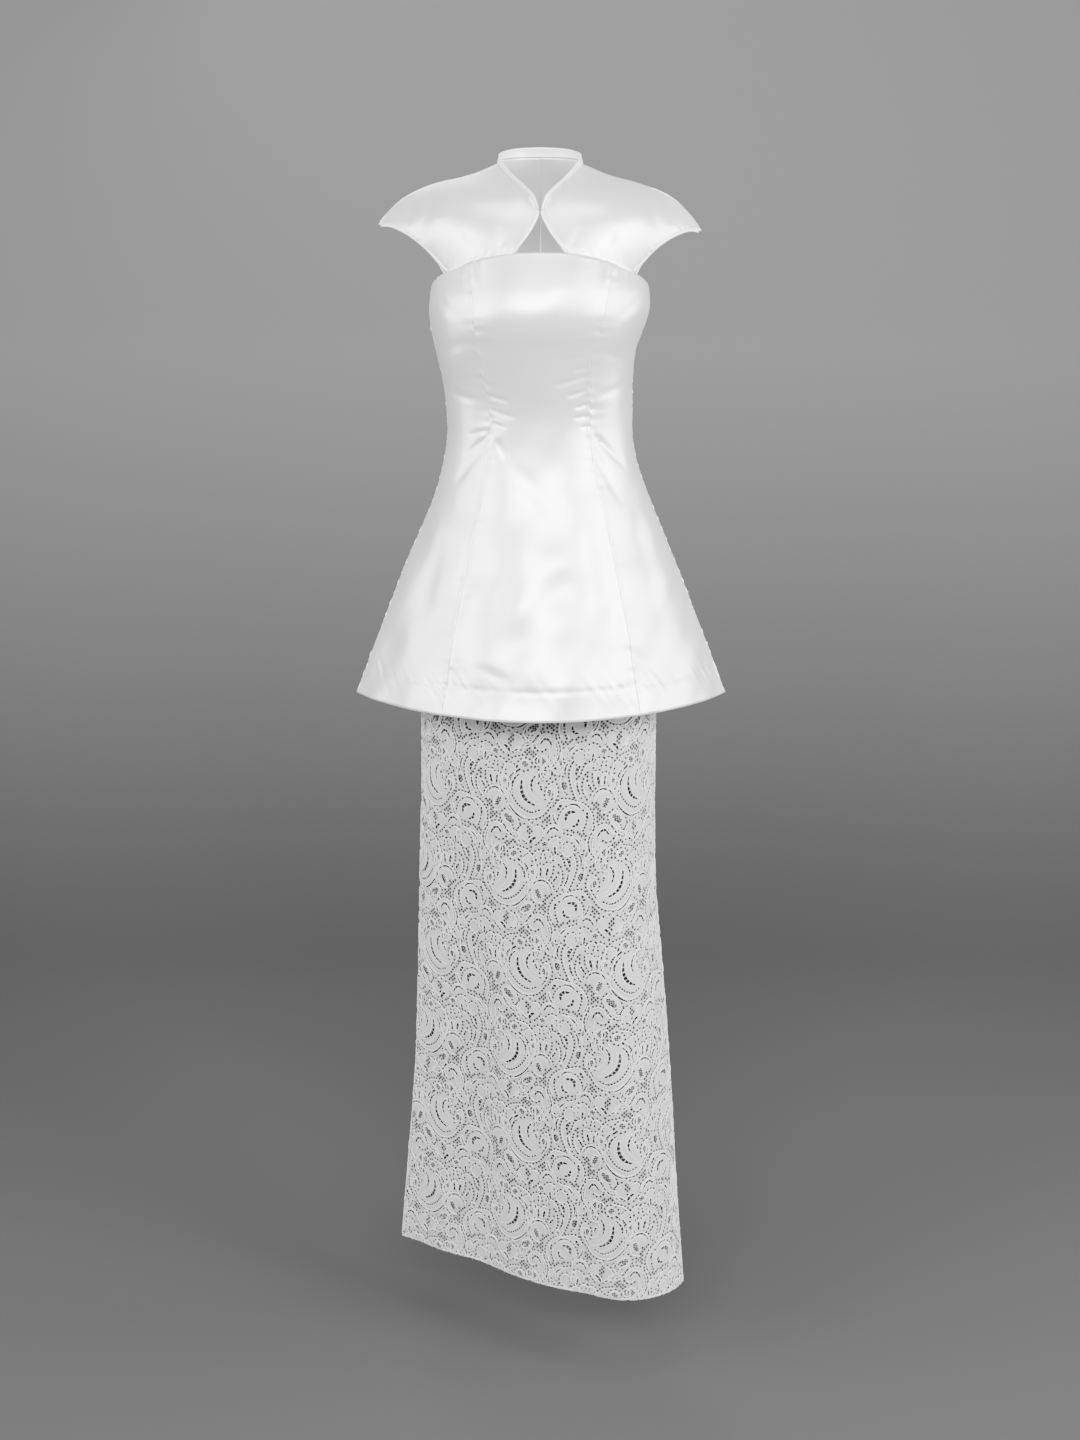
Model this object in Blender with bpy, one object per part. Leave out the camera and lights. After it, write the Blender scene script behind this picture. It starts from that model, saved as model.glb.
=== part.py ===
"""A fitted satin top with a cap-sleeved yoke, and a long lace skirt, in the hollow form they have when worn.

Metres, +Z up. The front faces -Y and the wearer's left is +X. The origin lies between the shoulders,
at the base of the neck, where the set is carried. Each piece that a maker cuts is one object, but for
the lining's two, which are three each: a wall of cloth between an outer surface and the same surface
moved inwards.
"""

import math
from collections import namedtuple
from itertools import product

import bmesh
import bpy
import numpy as np
from mathutils import Vector
from mathutils.geometry import delaunay_2d_cdt

# Driving dimensions
SEAM_GAP = 0.0003
SATIN = 0.0015
YOKE_CLOTH = 0.0013
LACE = 0.0012
LINING = 0.0010
WAISTBAND_CLOTH = 0.0025
LAYER_GAP = 0.0005
WAIST_GAP = 0.0008  # between the top and what lies against its inside
TOP_HEM_Z = -0.5785
WAISTBAND_TOP_Z = -0.2450
WAISTBAND_BOTTOM_Z = -0.2700
SKIRT_HEM_Z = -1.3300
LINING_HEM_Z = -1.2450
LINING_LOOSE = 0.0036  # how much further in the lining hangs below the waist
LINING_NARROW = 0.0070  # and how much more again at its side seams
LINING_EASE = 0.08  # the depth below the waistband over which it comes to hang so

# The body of the top: one ring of the tube for each row. A ring's front is mid - front * cos(angle)^power.
Section = namedtuple("Section", "z half shift mid front back power")
TOP = (
    Section(-0.040, 0.1120, 0.0000, 0.000, 0.0930, 0.0790, 0.90),
    Section(-0.060, 0.1185, 0.0000, 0.000, 0.0990, 0.0810, 0.88),
    Section(-0.080, 0.1235, 0.0000, 0.000, 0.1070, 0.0820, 0.86),
    Section(-0.100, 0.1275, 0.0000, 0.000, 0.1140, 0.0820, 0.84),
    Section(-0.120, 0.1290, -0.0008, 0.000, 0.1170, 0.0805, 0.84),
    Section(-0.140, 0.1255, -0.0028, 0.000, 0.1145, 0.0780, 0.86),
    Section(-0.165, 0.1185, -0.0050, 0.000, 0.1060, 0.0745, 0.88),
    Section(-0.200, 0.1125, -0.0030, 0.000, 0.0950, 0.0690, 0.92),
    Section(-0.240, 0.1097, -0.0005, 0.000, 0.0880, 0.0655, 0.95),
    Section(-0.270, 0.1100, 0.0000, 0.000, 0.0885, 0.0680, 0.96),
    Section(-0.300, 0.1150, 0.0002, -0.001, 0.0925, 0.0745, 1.00),
    Section(-0.340, 0.1280, 0.0020, -0.003, 0.1010, 0.0870, 1.08),
    Section(-0.380, 0.1445, 0.0015, -0.006, 0.1110, 0.0990, 1.20),
    Section(-0.430, 0.1660, 0.0012, -0.010, 0.1235, 0.1120, 1.36),
    Section(-0.500, 0.1935, 0.0012, -0.015, 0.1400, 0.1290, 1.55),
    Section(-0.580, 0.2245, 0.0010, -0.020, 0.1570, 0.1460, 1.70),
)

# The top's upper edge, from the centre front (0) round under the arm (90) to the centre back (180).
EdgeRow = namedtuple("EdgeRow", "angle z")
TOP_EDGE = (
    EdgeRow(0, -0.0540),
    EdgeRow(15, -0.0552),
    EdgeRow(28, -0.0585),
    EdgeRow(38, -0.0628),
    EdgeRow(52, -0.0722),
    EdgeRow(65, -0.0795),
    EdgeRow(78, -0.0890),
    EdgeRow(90, -0.0945),
    EdgeRow(110, -0.0920),
    EdgeRow(135, -0.0830),
    EdgeRow(160, -0.0760),
    EdgeRow(180, -0.0740),
)

# The angle of the princess seams, front and back, down the top
SeamRow = namedtuple("SeamRow", "z front back")
PRINCESS = (
    SeamRow(-0.050, 46.0, 143.0),
    SeamRow(-0.070, 43.0, 144.0),
    SeamRow(-0.107, 36.5, 146.0),
    SeamRow(-0.150, 34.0, 147.0),
    SeamRow(-0.224, 32.0, 148.0),
    SeamRow(-0.330, 33.5, 147.0),
    SeamRow(-0.473, 32.5, 147.0),
    SeamRow(-0.580, 31.0, 148.0),
)

# The long skirt. Each ring is also turned about the vertical, which brings the wearer's left side forward.
# With skew, the front bulges over the leg that is forward and the back over the other one.
SkirtSection = namedtuple("SkirtSection", "z half shift mid front back power turn skew")
SKIRT = (
    SkirtSection(-0.270, 0.1060, 0.0000, 0.000, 0.0845, 0.0640, 0.96, 0.0, 0.00),
    SkirtSection(-0.310, 0.1125, 0.0000, -0.002, 0.0880, 0.0720, 0.96, 0.0, 0.00),
    SkirtSection(-0.360, 0.1265, 0.0000, -0.004, 0.0950, 0.0860, 0.96, 0.5, 0.00),
    SkirtSection(-0.420, 0.1395, 0.0000, -0.007, 0.0980, 0.0960, 0.98, 1.5, 0.00),
    SkirtSection(-0.500, 0.1430, -0.0010, -0.010, 0.0980, 0.0970, 1.00, 2.5, 0.00),
    SkirtSection(-0.614, 0.1430, -0.0020, -0.014, 0.0940, 0.0930, 1.00, 4.5, 0.05),
    SkirtSection(-0.680, 0.1436, -0.0026, -0.016, 0.0910, 0.0900, 1.00, 6.0, 0.12),
    SkirtSection(-0.800, 0.1475, -0.0040, -0.020, 0.0840, 0.0830, 1.00, 9.5, 0.30),
    SkirtSection(-0.940, 0.1575, -0.0005, -0.025, 0.0770, 0.0760, 1.00, 12.5, 0.50),
    SkirtSection(-1.070, 0.1675, 0.0018, -0.028, 0.0700, 0.0700, 1.00, 15.0, 0.68),
    SkirtSection(-1.200, 0.1785, 0.0004, -0.030, 0.0640, 0.0640, 1.00, 16.2, 0.80),
    SkirtSection(-1.330, 0.1920, -0.0005, -0.031, 0.0600, 0.0600, 1.00, 18.2, 0.88),
)

# Soft upright folds in the skirt: where each lies round the ring, how wide, how far it stands out (or in)
Fold = namedtuple("Fold", "angle width rise top")
SKIRT_FOLDS = (
    Fold(26, 12, -0.0040, -0.70),
    Fold(50, 14, 0.0025, -0.66),
    Fold(-20, 12, -0.0040, -0.78),
    Fold(-42, 14, 0.0025, -0.85),
    Fold(140, 13, 0.0030, -0.72),
    Fold(162, 12, -0.0035, -0.76),
    Fold(-150, 14, -0.0040, -0.70),
    Fold(-128, 12, 0.0025, -0.80),
)
FOLD_FADE = 0.45

# The yoke, as points of its edges for the side at +X. The other side is its mirror.
EdgePoint = namedtuple("EdgePoint", "x y z")
SHOULDER = (
    EdgePoint(0.0500, 0.0040, 0.0440),
    EdgePoint(0.0610, 0.0040, 0.0395),
    EdgePoint(0.0740, 0.0040, 0.0340),
    EdgePoint(0.0900, 0.0040, 0.0290),
    EdgePoint(0.1110, 0.0038, 0.0240),
    EdgePoint(0.1330, 0.0034, 0.0172),
    EdgePoint(0.1500, 0.0028, 0.0095),
    EdgePoint(0.1630, 0.0022, 0.0010),
    EdgePoint(0.1735, 0.0015, -0.0090),
    EdgePoint(0.1820, 0.0008, -0.0185),
    EdgePoint(0.1885, 0.0000, -0.0280),
)
NECK_FRONT = (
    EdgePoint(0.0500, 0.0040, 0.0440),
    EdgePoint(0.0405, -0.0180, 0.0340),
    EdgePoint(0.0292, -0.0395, 0.0236),
    EdgePoint(0.0170, -0.0600, 0.0135),
    EdgePoint(0.0085, -0.0730, 0.0042),
    EdgePoint(0.0030, -0.0790, -0.0080),
)
KEYHOLE = (
    EdgePoint(0.0030, -0.0790, -0.0080),
    EdgePoint(0.0050, -0.0818, -0.0145),
    EdgePoint(0.0088, -0.0850, -0.0225),
    EdgePoint(0.0155, -0.0885, -0.0335),
    EdgePoint(0.0240, -0.0920, -0.0445),
)
ARMHOLE_FRONT = (
    EdgePoint(0.1885, 0.0000, -0.0280),
    EdgePoint(0.1740, -0.0110, -0.0270),
    EdgePoint(0.1600, -0.0225, -0.0315),
    EdgePoint(0.1440, -0.0335, -0.0405),
    EdgePoint(0.1290, -0.0425, -0.0525),
    EdgePoint(0.1160, -0.0490, -0.0665),
)
NECK_BACK = (
    EdgePoint(0.0000, 0.0520, 0.0515),
    EdgePoint(0.0200, 0.0480, 0.0512),
    EdgePoint(0.0370, 0.0350, 0.0500),
    EdgePoint(0.0470, 0.0190, 0.0475),
    EdgePoint(0.0500, 0.0040, 0.0440),
)
ARMHOLE_BACK = (
    EdgePoint(0.1885, 0.0000, -0.0280),
    EdgePoint(0.1740, 0.0125, -0.0275),
    EdgePoint(0.1600, 0.0250, -0.0325),
    EdgePoint(0.1440, 0.0365, -0.0425),
    EdgePoint(0.1290, 0.0450, -0.0550),
    EdgePoint(0.1190, 0.0490, -0.0700),
)
CENTRE_BACK = (
    EdgePoint(0.0000, 0.0520, 0.0515),
    EdgePoint(0.0000, 0.0655, 0.0200),
    EdgePoint(0.0000, 0.0745, -0.0150),
    EdgePoint(0.0000, 0.0785, -0.0500),
)
TIP_TILT = 0.0035  # how far the cap on the wearer's left hangs lower, and the other one higher
KEYHOLE_FOOT_ANGLE = 15.5
ARMHOLE_FRONT_FOOT_ANGLE = 61.0
ARMHOLE_BACK_FOOT_ANGLE = 118.0
YOKE_INSET = SATIN + WAIST_GAP
YOKE_TUCK = 0.0045  # how far the yoke goes down behind the top's upper edge
YOKE_CLEAR = 0.0010
YOKE_BULGE_FRONT = 0.0085
YOKE_BULGE_BACK = 0.0110

# The narrow standing band at the neck: its height along the neck seam
BandRow = namedtuple("BandRow", "along height")
BAND = (
    BandRow(0.000, 0.0022),
    BandRow(0.018, 0.0040),
    BandRow(0.060, 0.0045),
    BandRow(0.100, 0.0062),
    BandRow(0.130, 0.0085),
    BandRow(0.160, 0.0108),
    BandRow(0.200, 0.0120),
)
BAND_CLOTH = 0.0016
BAND_LIE = 0.75  # 0 stands straight up from the seam, 1 leans in by 45 degrees
BINDING_RADIUS = 0.0011
BINDING_SIDES = 6
BINDING_LIFT = 0.0016  # the binding ends this far above the top's edge

# Lace: one half repeat, measured from the middle of its scroll. The other half is its mirror image,
# half a repeat lower. Each row is a gap wide enough to cut through.
LACE_REPEAT_WIDTH = 0.131
LACE_REPEAT_HEIGHT = 0.226
LACE_MIRROR_SHIFT = -0.023
LACE_MARGIN = 0.0045  # the least distance from a gap to a seam or hem
LACE_SPARE = 0.0025  # the least distance from a gap's edge to a corner of the net of triangles
LACE_REACH = 0.03  # no gap reaches further than this from its middle
Slit = namedtuple("Slit", "x z long wide lean bend")
LACE_SLITS = (
    Slit(-0.0035, -0.0030, 0.040, 0.0056, 118, 0.0075),
    Slit(0.0950, -0.0040, 0.015, 0.0085, 96, 0.0000),
    Slit(0.0475, -0.0290, 0.018, 0.0090, 128, 0.0000),
)
SLIT_SHAPE = ((-0.5, 0.0), (-0.2, 0.5), (0.2, 0.5), (0.5, 0.0), (0.2, -0.5), (-0.2, -0.5))
WINDOW_SHAPE = ((-0.5, -0.15), (-0.1, 0.5), (0.4, 0.35), (0.5, -0.2), (0.0, -0.5))

# Colours as seen: near-white satin, a slightly greyer lace over a pale lining
Finish = namedtuple("Finish", "colour roughness metallic")
FINISHES = {
    "satin": Finish((0.86, 0.86, 0.86), 0.34, 0.0),
    "satin_binding": Finish((0.88, 0.88, 0.88), 0.38, 0.0),
    "lace": Finish((0.70, 0.70, 0.70), 0.85, 0.0),
    "lining": Finish((0.58, 0.58, 0.58), 0.75, 0.0),
}


# Curves through rows of a table

def curve(knots, values, at):
    """A smooth curve through (knots, values), read at the places at. Slopes are those of the neighbours."""
    knots = np.asarray(knots, float)
    values = np.asarray(values, float)
    if knots[0] > knots[-1]:
        knots, values = knots[::-1], values[::-1]
    slopes = np.gradient(values, knots)
    at = np.clip(at, knots[0], knots[-1])
    left = np.clip(np.searchsorted(knots, at, side="right") - 1, 0, len(knots) - 2)
    width = knots[left + 1] - knots[left]
    t = (at - knots[left]) / width
    return (
        values[left] * (2 * t**3 - 3 * t**2 + 1)
        + slopes[left] * width * (t**3 - 2 * t**2 + t)
        + values[left + 1] * (3 * t**2 - 2 * t**3)
        + slopes[left + 1] * width * (t**3 - t**2)
    )


def column(table, name):
    return [getattr(row, name) for row in table]


def table_at(table, name, z):
    return curve(column(table, "z"), column(table, name), z)


def along(points, count):
    """count points at equal steps along a smooth curve through the given points."""
    points = np.asarray(points, float)
    steps = np.linalg.norm(np.diff(points, axis=0), axis=1)
    place = np.concatenate([[0], np.cumsum(steps)])
    wanted = np.linspace(0, place[-1], count)
    return np.stack([curve(place, points[:, k], wanted) for k in range(3)], axis=1)


# The two tubes

def ring_point(table, z, angle, inset=0.0, narrow=0.0):
    """Outer point of a tube: half*sin across, front or back depth*cos^power along, about the ring's middle.
    An inset makes the ring smaller all round, and narrow takes still more off its width."""
    turn = np.radians(angle)
    flat = np.cos(turn)
    depth = np.where(flat >= 0, table_at(table, "front", z), table_at(table, "back", z)) - inset
    x = (table_at(table, "half", z) - inset - narrow) * np.sin(turn)
    y = -depth * np.sign(flat) * np.abs(flat) ** table_at(table, "power", z)
    return x, y


def top_point(z, angle):
    x, y = ring_point(TOP, z, angle)
    return np.stack([x + table_at(TOP, "shift", z), y + table_at(TOP, "mid", z), z + 0 * x], axis=-1)


def smooth_step(t):
    t = np.clip(t, 0, 1)
    return t * t * (3 - 2 * t)


def skirt_point(z, angle, inset=0.0, narrow=0.0):
    x, y = ring_point(SKIRT, z, angle, inset, narrow)
    facing = np.sign(y)
    y = y * (1 - facing * table_at(SKIRT, "skew", z) * np.sin(np.radians(angle)))
    for fold in SKIRT_FOLDS:
        off = (angle - fold.angle + 180) % 360 - 180
        grown = smooth_step((fold.top - z) / FOLD_FADE)
        y = y + facing * fold.rise * np.exp(-((off / fold.width) ** 2)) * grown
    turn = np.radians(table_at(SKIRT, "turn", z))
    return np.stack(
        [
            x * np.cos(turn) + y * np.sin(turn) + table_at(SKIRT, "shift", z),
            y * np.cos(turn) - x * np.sin(turn) + table_at(SKIRT, "mid", z),
            z + 0 * x,
        ],
        axis=-1,
    )


def unit(v):
    return v / np.maximum(np.linalg.norm(v, axis=-1, keepdims=True), 1e-12)


def tube_normal(point, z, angle):
    """Outward normal from steps of 3 degrees and 4 mm, so that the side seam's corner gets its bisector."""
    round_it = point(z, angle + 3.0) - point(z, angle - 3.0)
    down_it = point(z - 0.004, angle) - point(z + 0.004, angle)
    return unit(np.cross(down_it, round_it))


# Solids

def make_object(name, points, faces, finish):
    mesh = bpy.data.meshes.new(name)
    mesh.from_pydata([tuple(p) for p in points], [], faces)
    solid = bmesh.new()
    solid.from_mesh(mesh)
    bmesh.ops.recalc_face_normals(solid, faces=solid.faces[:])
    bmesh.ops.triangulate(solid, faces=solid.faces[:])
    solid.to_mesh(mesh)
    solid.free()
    mesh.materials.append(finish_material(finish))
    mesh.shade_smooth()
    mesh.set_sharp_from_angle(angle=math.radians(40))
    bpy.context.scene.collection.objects.link(bpy.data.objects.new(name, mesh))


def finish_material(name):
    """Each object has a material of its own, made from its finish."""
    finish = FINISHES[name]
    material = bpy.data.materials.new(name)
    material.use_nodes = True
    shader = material.node_tree.nodes["Principled BSDF"]
    shader.inputs["Base Color"].default_value = (*finish.colour, 1.0)
    shader.inputs["Roughness"].default_value = finish.roughness
    shader.inputs["Metallic"].default_value = finish.metallic
    return material


def wall(name, outer, inner, finish):
    """A closed solid between two grids of points, rows by columns, with a rim round all four edges."""
    rows, cols = outer.shape[:2]
    count = rows * cols
    faces = []
    for i in range(rows - 1):
        for j in range(cols - 1):
            a, b = i * cols + j, i * cols + j + 1
            c, d = b + cols, a + cols
            faces.append((a, b, c, d))
            faces.append((a + count, d + count, c + count, b + count))
    rim = (
        [j for j in range(cols)]
        + [i * cols + cols - 1 for i in range(1, rows)]
        + [(rows - 1) * cols + j for j in range(cols - 2, -1, -1)]
        + [i * cols for i in range(rows - 2, 0, -1)]
    )
    for a, b in zip(rim, rim[1:] + rim[:1]):
        faces.append((a, a + count, b + count, b))
    points = np.concatenate([outer.reshape(-1, 3), inner.reshape(-1, 3)])
    make_object(name, points, faces, finish)


def opened_seams(grid, normal, thickness):
    """Outer and inner grids of a panel whose two upright edges stand half a seam gap back."""
    outer, inner = grid.copy(), grid - normal * thickness
    for edge, inside in ((0, 1), (-1, -2)):
        run = np.gradient(grid[:, edge], axis=0)
        away = unit(np.cross(normal[:, edge], run))
        into = grid[:, inside] - grid[:, edge]
        away *= np.sign((away * into).sum(-1, keepdims=True))
        outer[:, edge] += away * SEAM_GAP / 2
        inner[:, edge] += away * SEAM_GAP / 2
    return outer, inner


# The top's seven body panels

TOP_ROWS = 19


def top_edge_z(angle):
    return curve(column(TOP_EDGE, "angle"), column(TOP_EDGE, "z"), np.abs(angle))


def panel_angles(seams, share, z):
    """The angle of each column of a panel, between its two seams at height z."""
    first, last = (curve_of(z) for curve_of in seams)
    return first + (last - first) * share


def top_panel(name, seams, columns):
    share = np.linspace(0, 1, columns + 1)[None, :]
    z = np.full((1, columns + 1), TOP_EDGE[0].z)
    for _ in range(12):
        z = top_edge_z(panel_angles(seams, share, z))
    down = np.linspace(0, 1, TOP_ROWS)[:, None]
    down = down - 0.05 * np.sin(2 * np.pi * down)
    z = z + (TOP_HEM_Z - z) * down
    angle = panel_angles(seams, share, z)
    grid = top_point(z, angle)
    outer, inner = opened_seams(grid, tube_normal(top_point, z, angle), SATIN)
    wall(name, outer, inner, "satin")


def fixed(angle):
    return lambda z: angle + 0 * z


def princess(name, sign):
    return lambda z: sign * table_at(PRINCESS, name, z)


TOP_PANELS = (
    ("top_front_centre", princess("front", -1), princess("front", 1), 8),
    ("top_front_side_left", princess("front", 1), fixed(90.0), 6),
    ("top_front_side_right", fixed(-90.0), princess("front", -1), 6),
    ("top_back_side_left", fixed(90.0), princess("back", 1), 7),
    ("top_back_side_right", princess("back", -1), fixed(-90.0), 7),
    ("top_back_centre_left", princess("back", 1), fixed(180.0), 4),
    ("top_back_centre_right", fixed(-180.0), princess("back", -1), 4),
)


# The yoke: four cap-sleeved panels over the shoulders

def foot_points(first, last, count, lift):
    """Points behind the top's upper edge, between two angles and lift above it."""
    angle = np.linspace(first, last, count)
    z = top_edge_z(angle) + lift
    return top_point(z, angle) - tube_normal(top_point, z, angle) * YOKE_INSET


def coons(top, bottom, left, right):
    """The grid that blends four edge curves, less the blend of its corners."""
    t = np.linspace(0, 1, len(left))[:, None, None]
    s = np.linspace(0, 1, len(top))[None, :, None]
    corners = (
        top[0] * (1 - s) * (1 - t) + top[-1] * s * (1 - t) + bottom[0] * (1 - s) * t + bottom[-1] * s * t
    )
    return top[None] * (1 - t) + bottom[None] * t + left[:, None] * (1 - s) + right[:, None] * s - corners


def grid_normal(grid, outward):
    normal = unit(np.cross(np.gradient(grid, axis=0), np.gradient(grid, axis=1)))
    facing = np.sign((normal * outward).sum(-1).mean())
    return normal * facing


def bulged(grid, outward, height):
    """The grid pushed out along its normal, most in its middle and not at all on its edges."""
    t = np.linspace(0, np.pi, grid.shape[0])[:, None, None]
    s = np.linspace(0, np.pi, grid.shape[1])[None, :, None]
    return grid + grid_normal(grid, outward) * height * np.sin(t) * np.sin(s)


def mirrored(grid, side):
    """The +X grid, or its mirror for the other side, with its cap tip lower or higher."""
    out = grid.copy()
    out[..., 2] -= side * TIP_TILT * (np.clip(grid[..., 0], 0, None) / SHOULDER[-1].x) ** 4
    out[..., 0] *= side
    return out


NECK_STEPS = 4
KEYHOLE_STEPS = 5
SHOULDER_STEPS = 9
BACK_NECK_STEPS = 4
BACK_ROWS = 8
ROWS_FRONT = NECK_STEPS + KEYHOLE_STEPS


def with_tuck(grid, first, last):
    """The grid with one more row, tucked down behind the top's edge."""
    return np.concatenate([grid, foot_points(first, last, grid.shape[1], -YOKE_TUCK)[None]])


def front_yoke_grid():
    foot = foot_points(KEYHOLE_FOOT_ANGLE, ARMHOLE_FRONT_FOOT_ANGLE, SHOULDER_STEPS + 1, YOKE_CLEAR)
    neck = along(NECK_FRONT, NECK_STEPS + 1)
    keyhole = along((*KEYHOLE, foot[0]), KEYHOLE_STEPS + 1)
    armhole = along((*ARMHOLE_FRONT, foot[-1]), ROWS_FRONT + 1)
    grid = coons(along(SHOULDER, SHOULDER_STEPS + 1), foot, np.concatenate([neck, keyhole[1:]]), armhole)
    grid = bulged(grid, np.array([0.2, -1.0, 0.7]), YOKE_BULGE_FRONT)
    return with_tuck(grid, KEYHOLE_FOOT_ANGLE, ARMHOLE_FRONT_FOOT_ANGLE)


def back_yoke_grid():
    columns = BACK_NECK_STEPS + SHOULDER_STEPS
    foot = foot_points(180.0, ARMHOLE_BACK_FOOT_ANGLE, columns + 1, YOKE_CLEAR)
    neck = along(NECK_BACK, BACK_NECK_STEPS + 1)
    shoulder = along(SHOULDER, SHOULDER_STEPS + 1)
    armhole = along((*ARMHOLE_BACK, foot[-1]), BACK_ROWS + 1)
    centre = along((*CENTRE_BACK, foot[0]), BACK_ROWS + 1)
    grid = coons(np.concatenate([neck, shoulder[1:]]), foot, centre, armhole)
    grid = bulged(grid, np.array([0.2, 1.0, 0.7]), YOKE_BULGE_BACK)
    return with_tuck(grid, 180.0, ARMHOLE_BACK_FOOT_ANGLE)


def yoke_walls(grid, outward, seam_columns):
    """Outer and inner grids. At the shoulder seam the normal has no Y part, so the panels part cleanly."""
    normal = grid_normal(grid, outward)
    normal[0, seam_columns, 1] = 0
    normal[0] = unit(normal[0])
    return grid.copy(), grid - normal * YOKE_CLOTH, normal


def build_yoke(side, name):
    front = mirrored(front_yoke_grid(), side)
    outer, inner, front_normal = yoke_walls(front, np.array([0.2 * side, -1.0, 0.7]), slice(None))
    outer[0, :, 1] -= SEAM_GAP / 2
    inner[0, :, 1] -= SEAM_GAP / 2
    wall(f"yoke_front_{name}", outer, inner, "satin")

    back = mirrored(back_yoke_grid(), side)
    shoulder = slice(BACK_NECK_STEPS, None)
    outer, inner, back_normal = yoke_walls(back, np.array([0.2 * side, 1.0, 0.7]), shoulder)
    outer[0, shoulder, 1] += SEAM_GAP / 2
    inner[0, shoulder, 1] += SEAM_GAP / 2
    inner[:, 0, 0] = outer[:, 0, 0]
    outer[:, 0, 0] += side * SEAM_GAP / 2
    inner[:, 0, 0] += side * SEAM_GAP / 2
    wall(f"yoke_back_{name}", outer, inner, "satin")
    return front, front_normal, back, back_normal


# Neck band and bindings

def tube_along(name, centre, finish):
    """A six-sided tube along a line of points, closed at both ends."""
    run = unit(np.gradient(centre, axis=0))
    side = unit(np.cross(run, np.array([0.0, 0.0, 1.0])))
    up = np.cross(side, run)
    turn = np.arange(BINDING_SIDES) * 2 * np.pi / BINDING_SIDES
    rings = centre[:, None] + BINDING_RADIUS * (
        np.cos(turn)[None, :, None] * side[:, None] + np.sin(turn)[None, :, None] * up[:, None]
    )
    rows = len(centre)
    faces = [tuple(range(BINDING_SIDES))]
    faces.append(tuple((rows - 1) * BINDING_SIDES + k for k in range(BINDING_SIDES)))
    for i in range(rows - 1):
        for k in range(BINDING_SIDES):
            a = i * BINDING_SIDES + k
            b = i * BINDING_SIDES + (k + 1) % BINDING_SIDES
            faces.append((a, b, b + BINDING_SIDES, a + BINDING_SIDES))
    make_object(name, rings.reshape(-1, 3), faces, finish)


def beside_edge(edge, inside, normal, cloth):
    """Points just outside an edge of a panel, level with the middle of its cloth."""
    run = unit(np.gradient(edge, axis=0))
    away = unit(np.cross(run, normal))
    away *= np.sign(-(away * (inside - edge)).sum(-1, keepdims=True))
    return edge - normal * cloth / 2 + away * (SEAM_GAP + BINDING_RADIUS)


def above_top_edge(points, side):
    """The part of a line that stays clear above the top's upper edge."""
    angle = np.degrees(np.arctan2(side * points[:, 0], -points[:, 1]))
    return points[points[:, 2] > top_edge_z(angle) + BINDING_LIFT]


def build_bindings(side, name, front, front_normal, back, back_normal):
    keyhole = slice(NECK_STEPS, ROWS_FRONT + 1)
    line = beside_edge(front[keyhole, 0], front[keyhole, 1], front_normal[keyhole, 0], YOKE_CLOTH)
    line = above_top_edge(line, side)
    line[0] = line[0] * 0.6 + line[1] * 0.4
    tube_along(f"binding_keyhole_{name}", line, "satin_binding")

    rows = slice(0, ROWS_FRONT + 1)
    front_line = beside_edge(front[rows, -1], front[rows, -2], front_normal[rows, -1], YOKE_CLOTH)
    rows = slice(0, BACK_ROWS + 1)
    back_line = beside_edge(back[rows, -1], back[rows, -2], back_normal[rows, -1], YOKE_CLOTH)
    tip = (front_line[0] + back_line[0]) / 2
    tip[0] += side * BINDING_RADIUS
    whole = np.concatenate([front_line[:0:-1], tip[None], back_line[1:]])
    tube_along(f"binding_armhole_{name}", above_top_edge(whole, side), "satin_binding")


def build_band(sides):
    """One strip from centre front round the back of the neck to centre front again."""
    lines, seam_normals, insides = [], [], []
    for front, front_normal, back, back_normal in sides:
        neck = slice(NECK_STEPS, 0, -1)
        across = slice(BACK_NECK_STEPS, None, -1)
        lines.append(np.concatenate([front[neck, 0], back[0, across]]))
        seam_normals.append(np.concatenate([front_normal[neck, 0], back_normal[0, across]]))
        insides.append(np.concatenate([front[neck, 1], back[1, across]]))
    seam = np.concatenate([lines[0], lines[1][-2::-1]])
    normal = np.concatenate([seam_normals[0], seam_normals[1][-2::-1]])
    inside = np.concatenate([insides[0], insides[1][-2::-1]])
    run = unit(np.gradient(seam, axis=0))
    up = np.array([0.0, 0.0, 1.0])
    stand = unit(up - (run @ up)[:, None] * run)
    lie = unit(np.cross(run, normal))
    lie *= np.sign(-(lie * (inside - seam)).sum(-1, keepdims=True))
    rise = unit(stand + BAND_LIE * lie)
    steps = np.concatenate([[0], np.cumsum(np.linalg.norm(np.diff(seam, axis=0), axis=1))])
    place = np.minimum(steps, steps[-1] - steps)
    height = np.interp(place, column(BAND, "along"), column(BAND, "height"))[:, None]
    facing = unit(np.cross(run, rise))
    facing *= np.sign((facing * (seam - seam.mean(axis=0))).sum(-1, keepdims=True))
    low = seam + rise * SEAM_GAP
    outer = np.stack([low, low + rise * height])
    inner = outer - facing[None] * BAND_CLOTH
    wall("collar_band", outer, inner, "satin_binding")


# The skirt: waistband, lining and lace

RING_COLUMNS = 40


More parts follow.
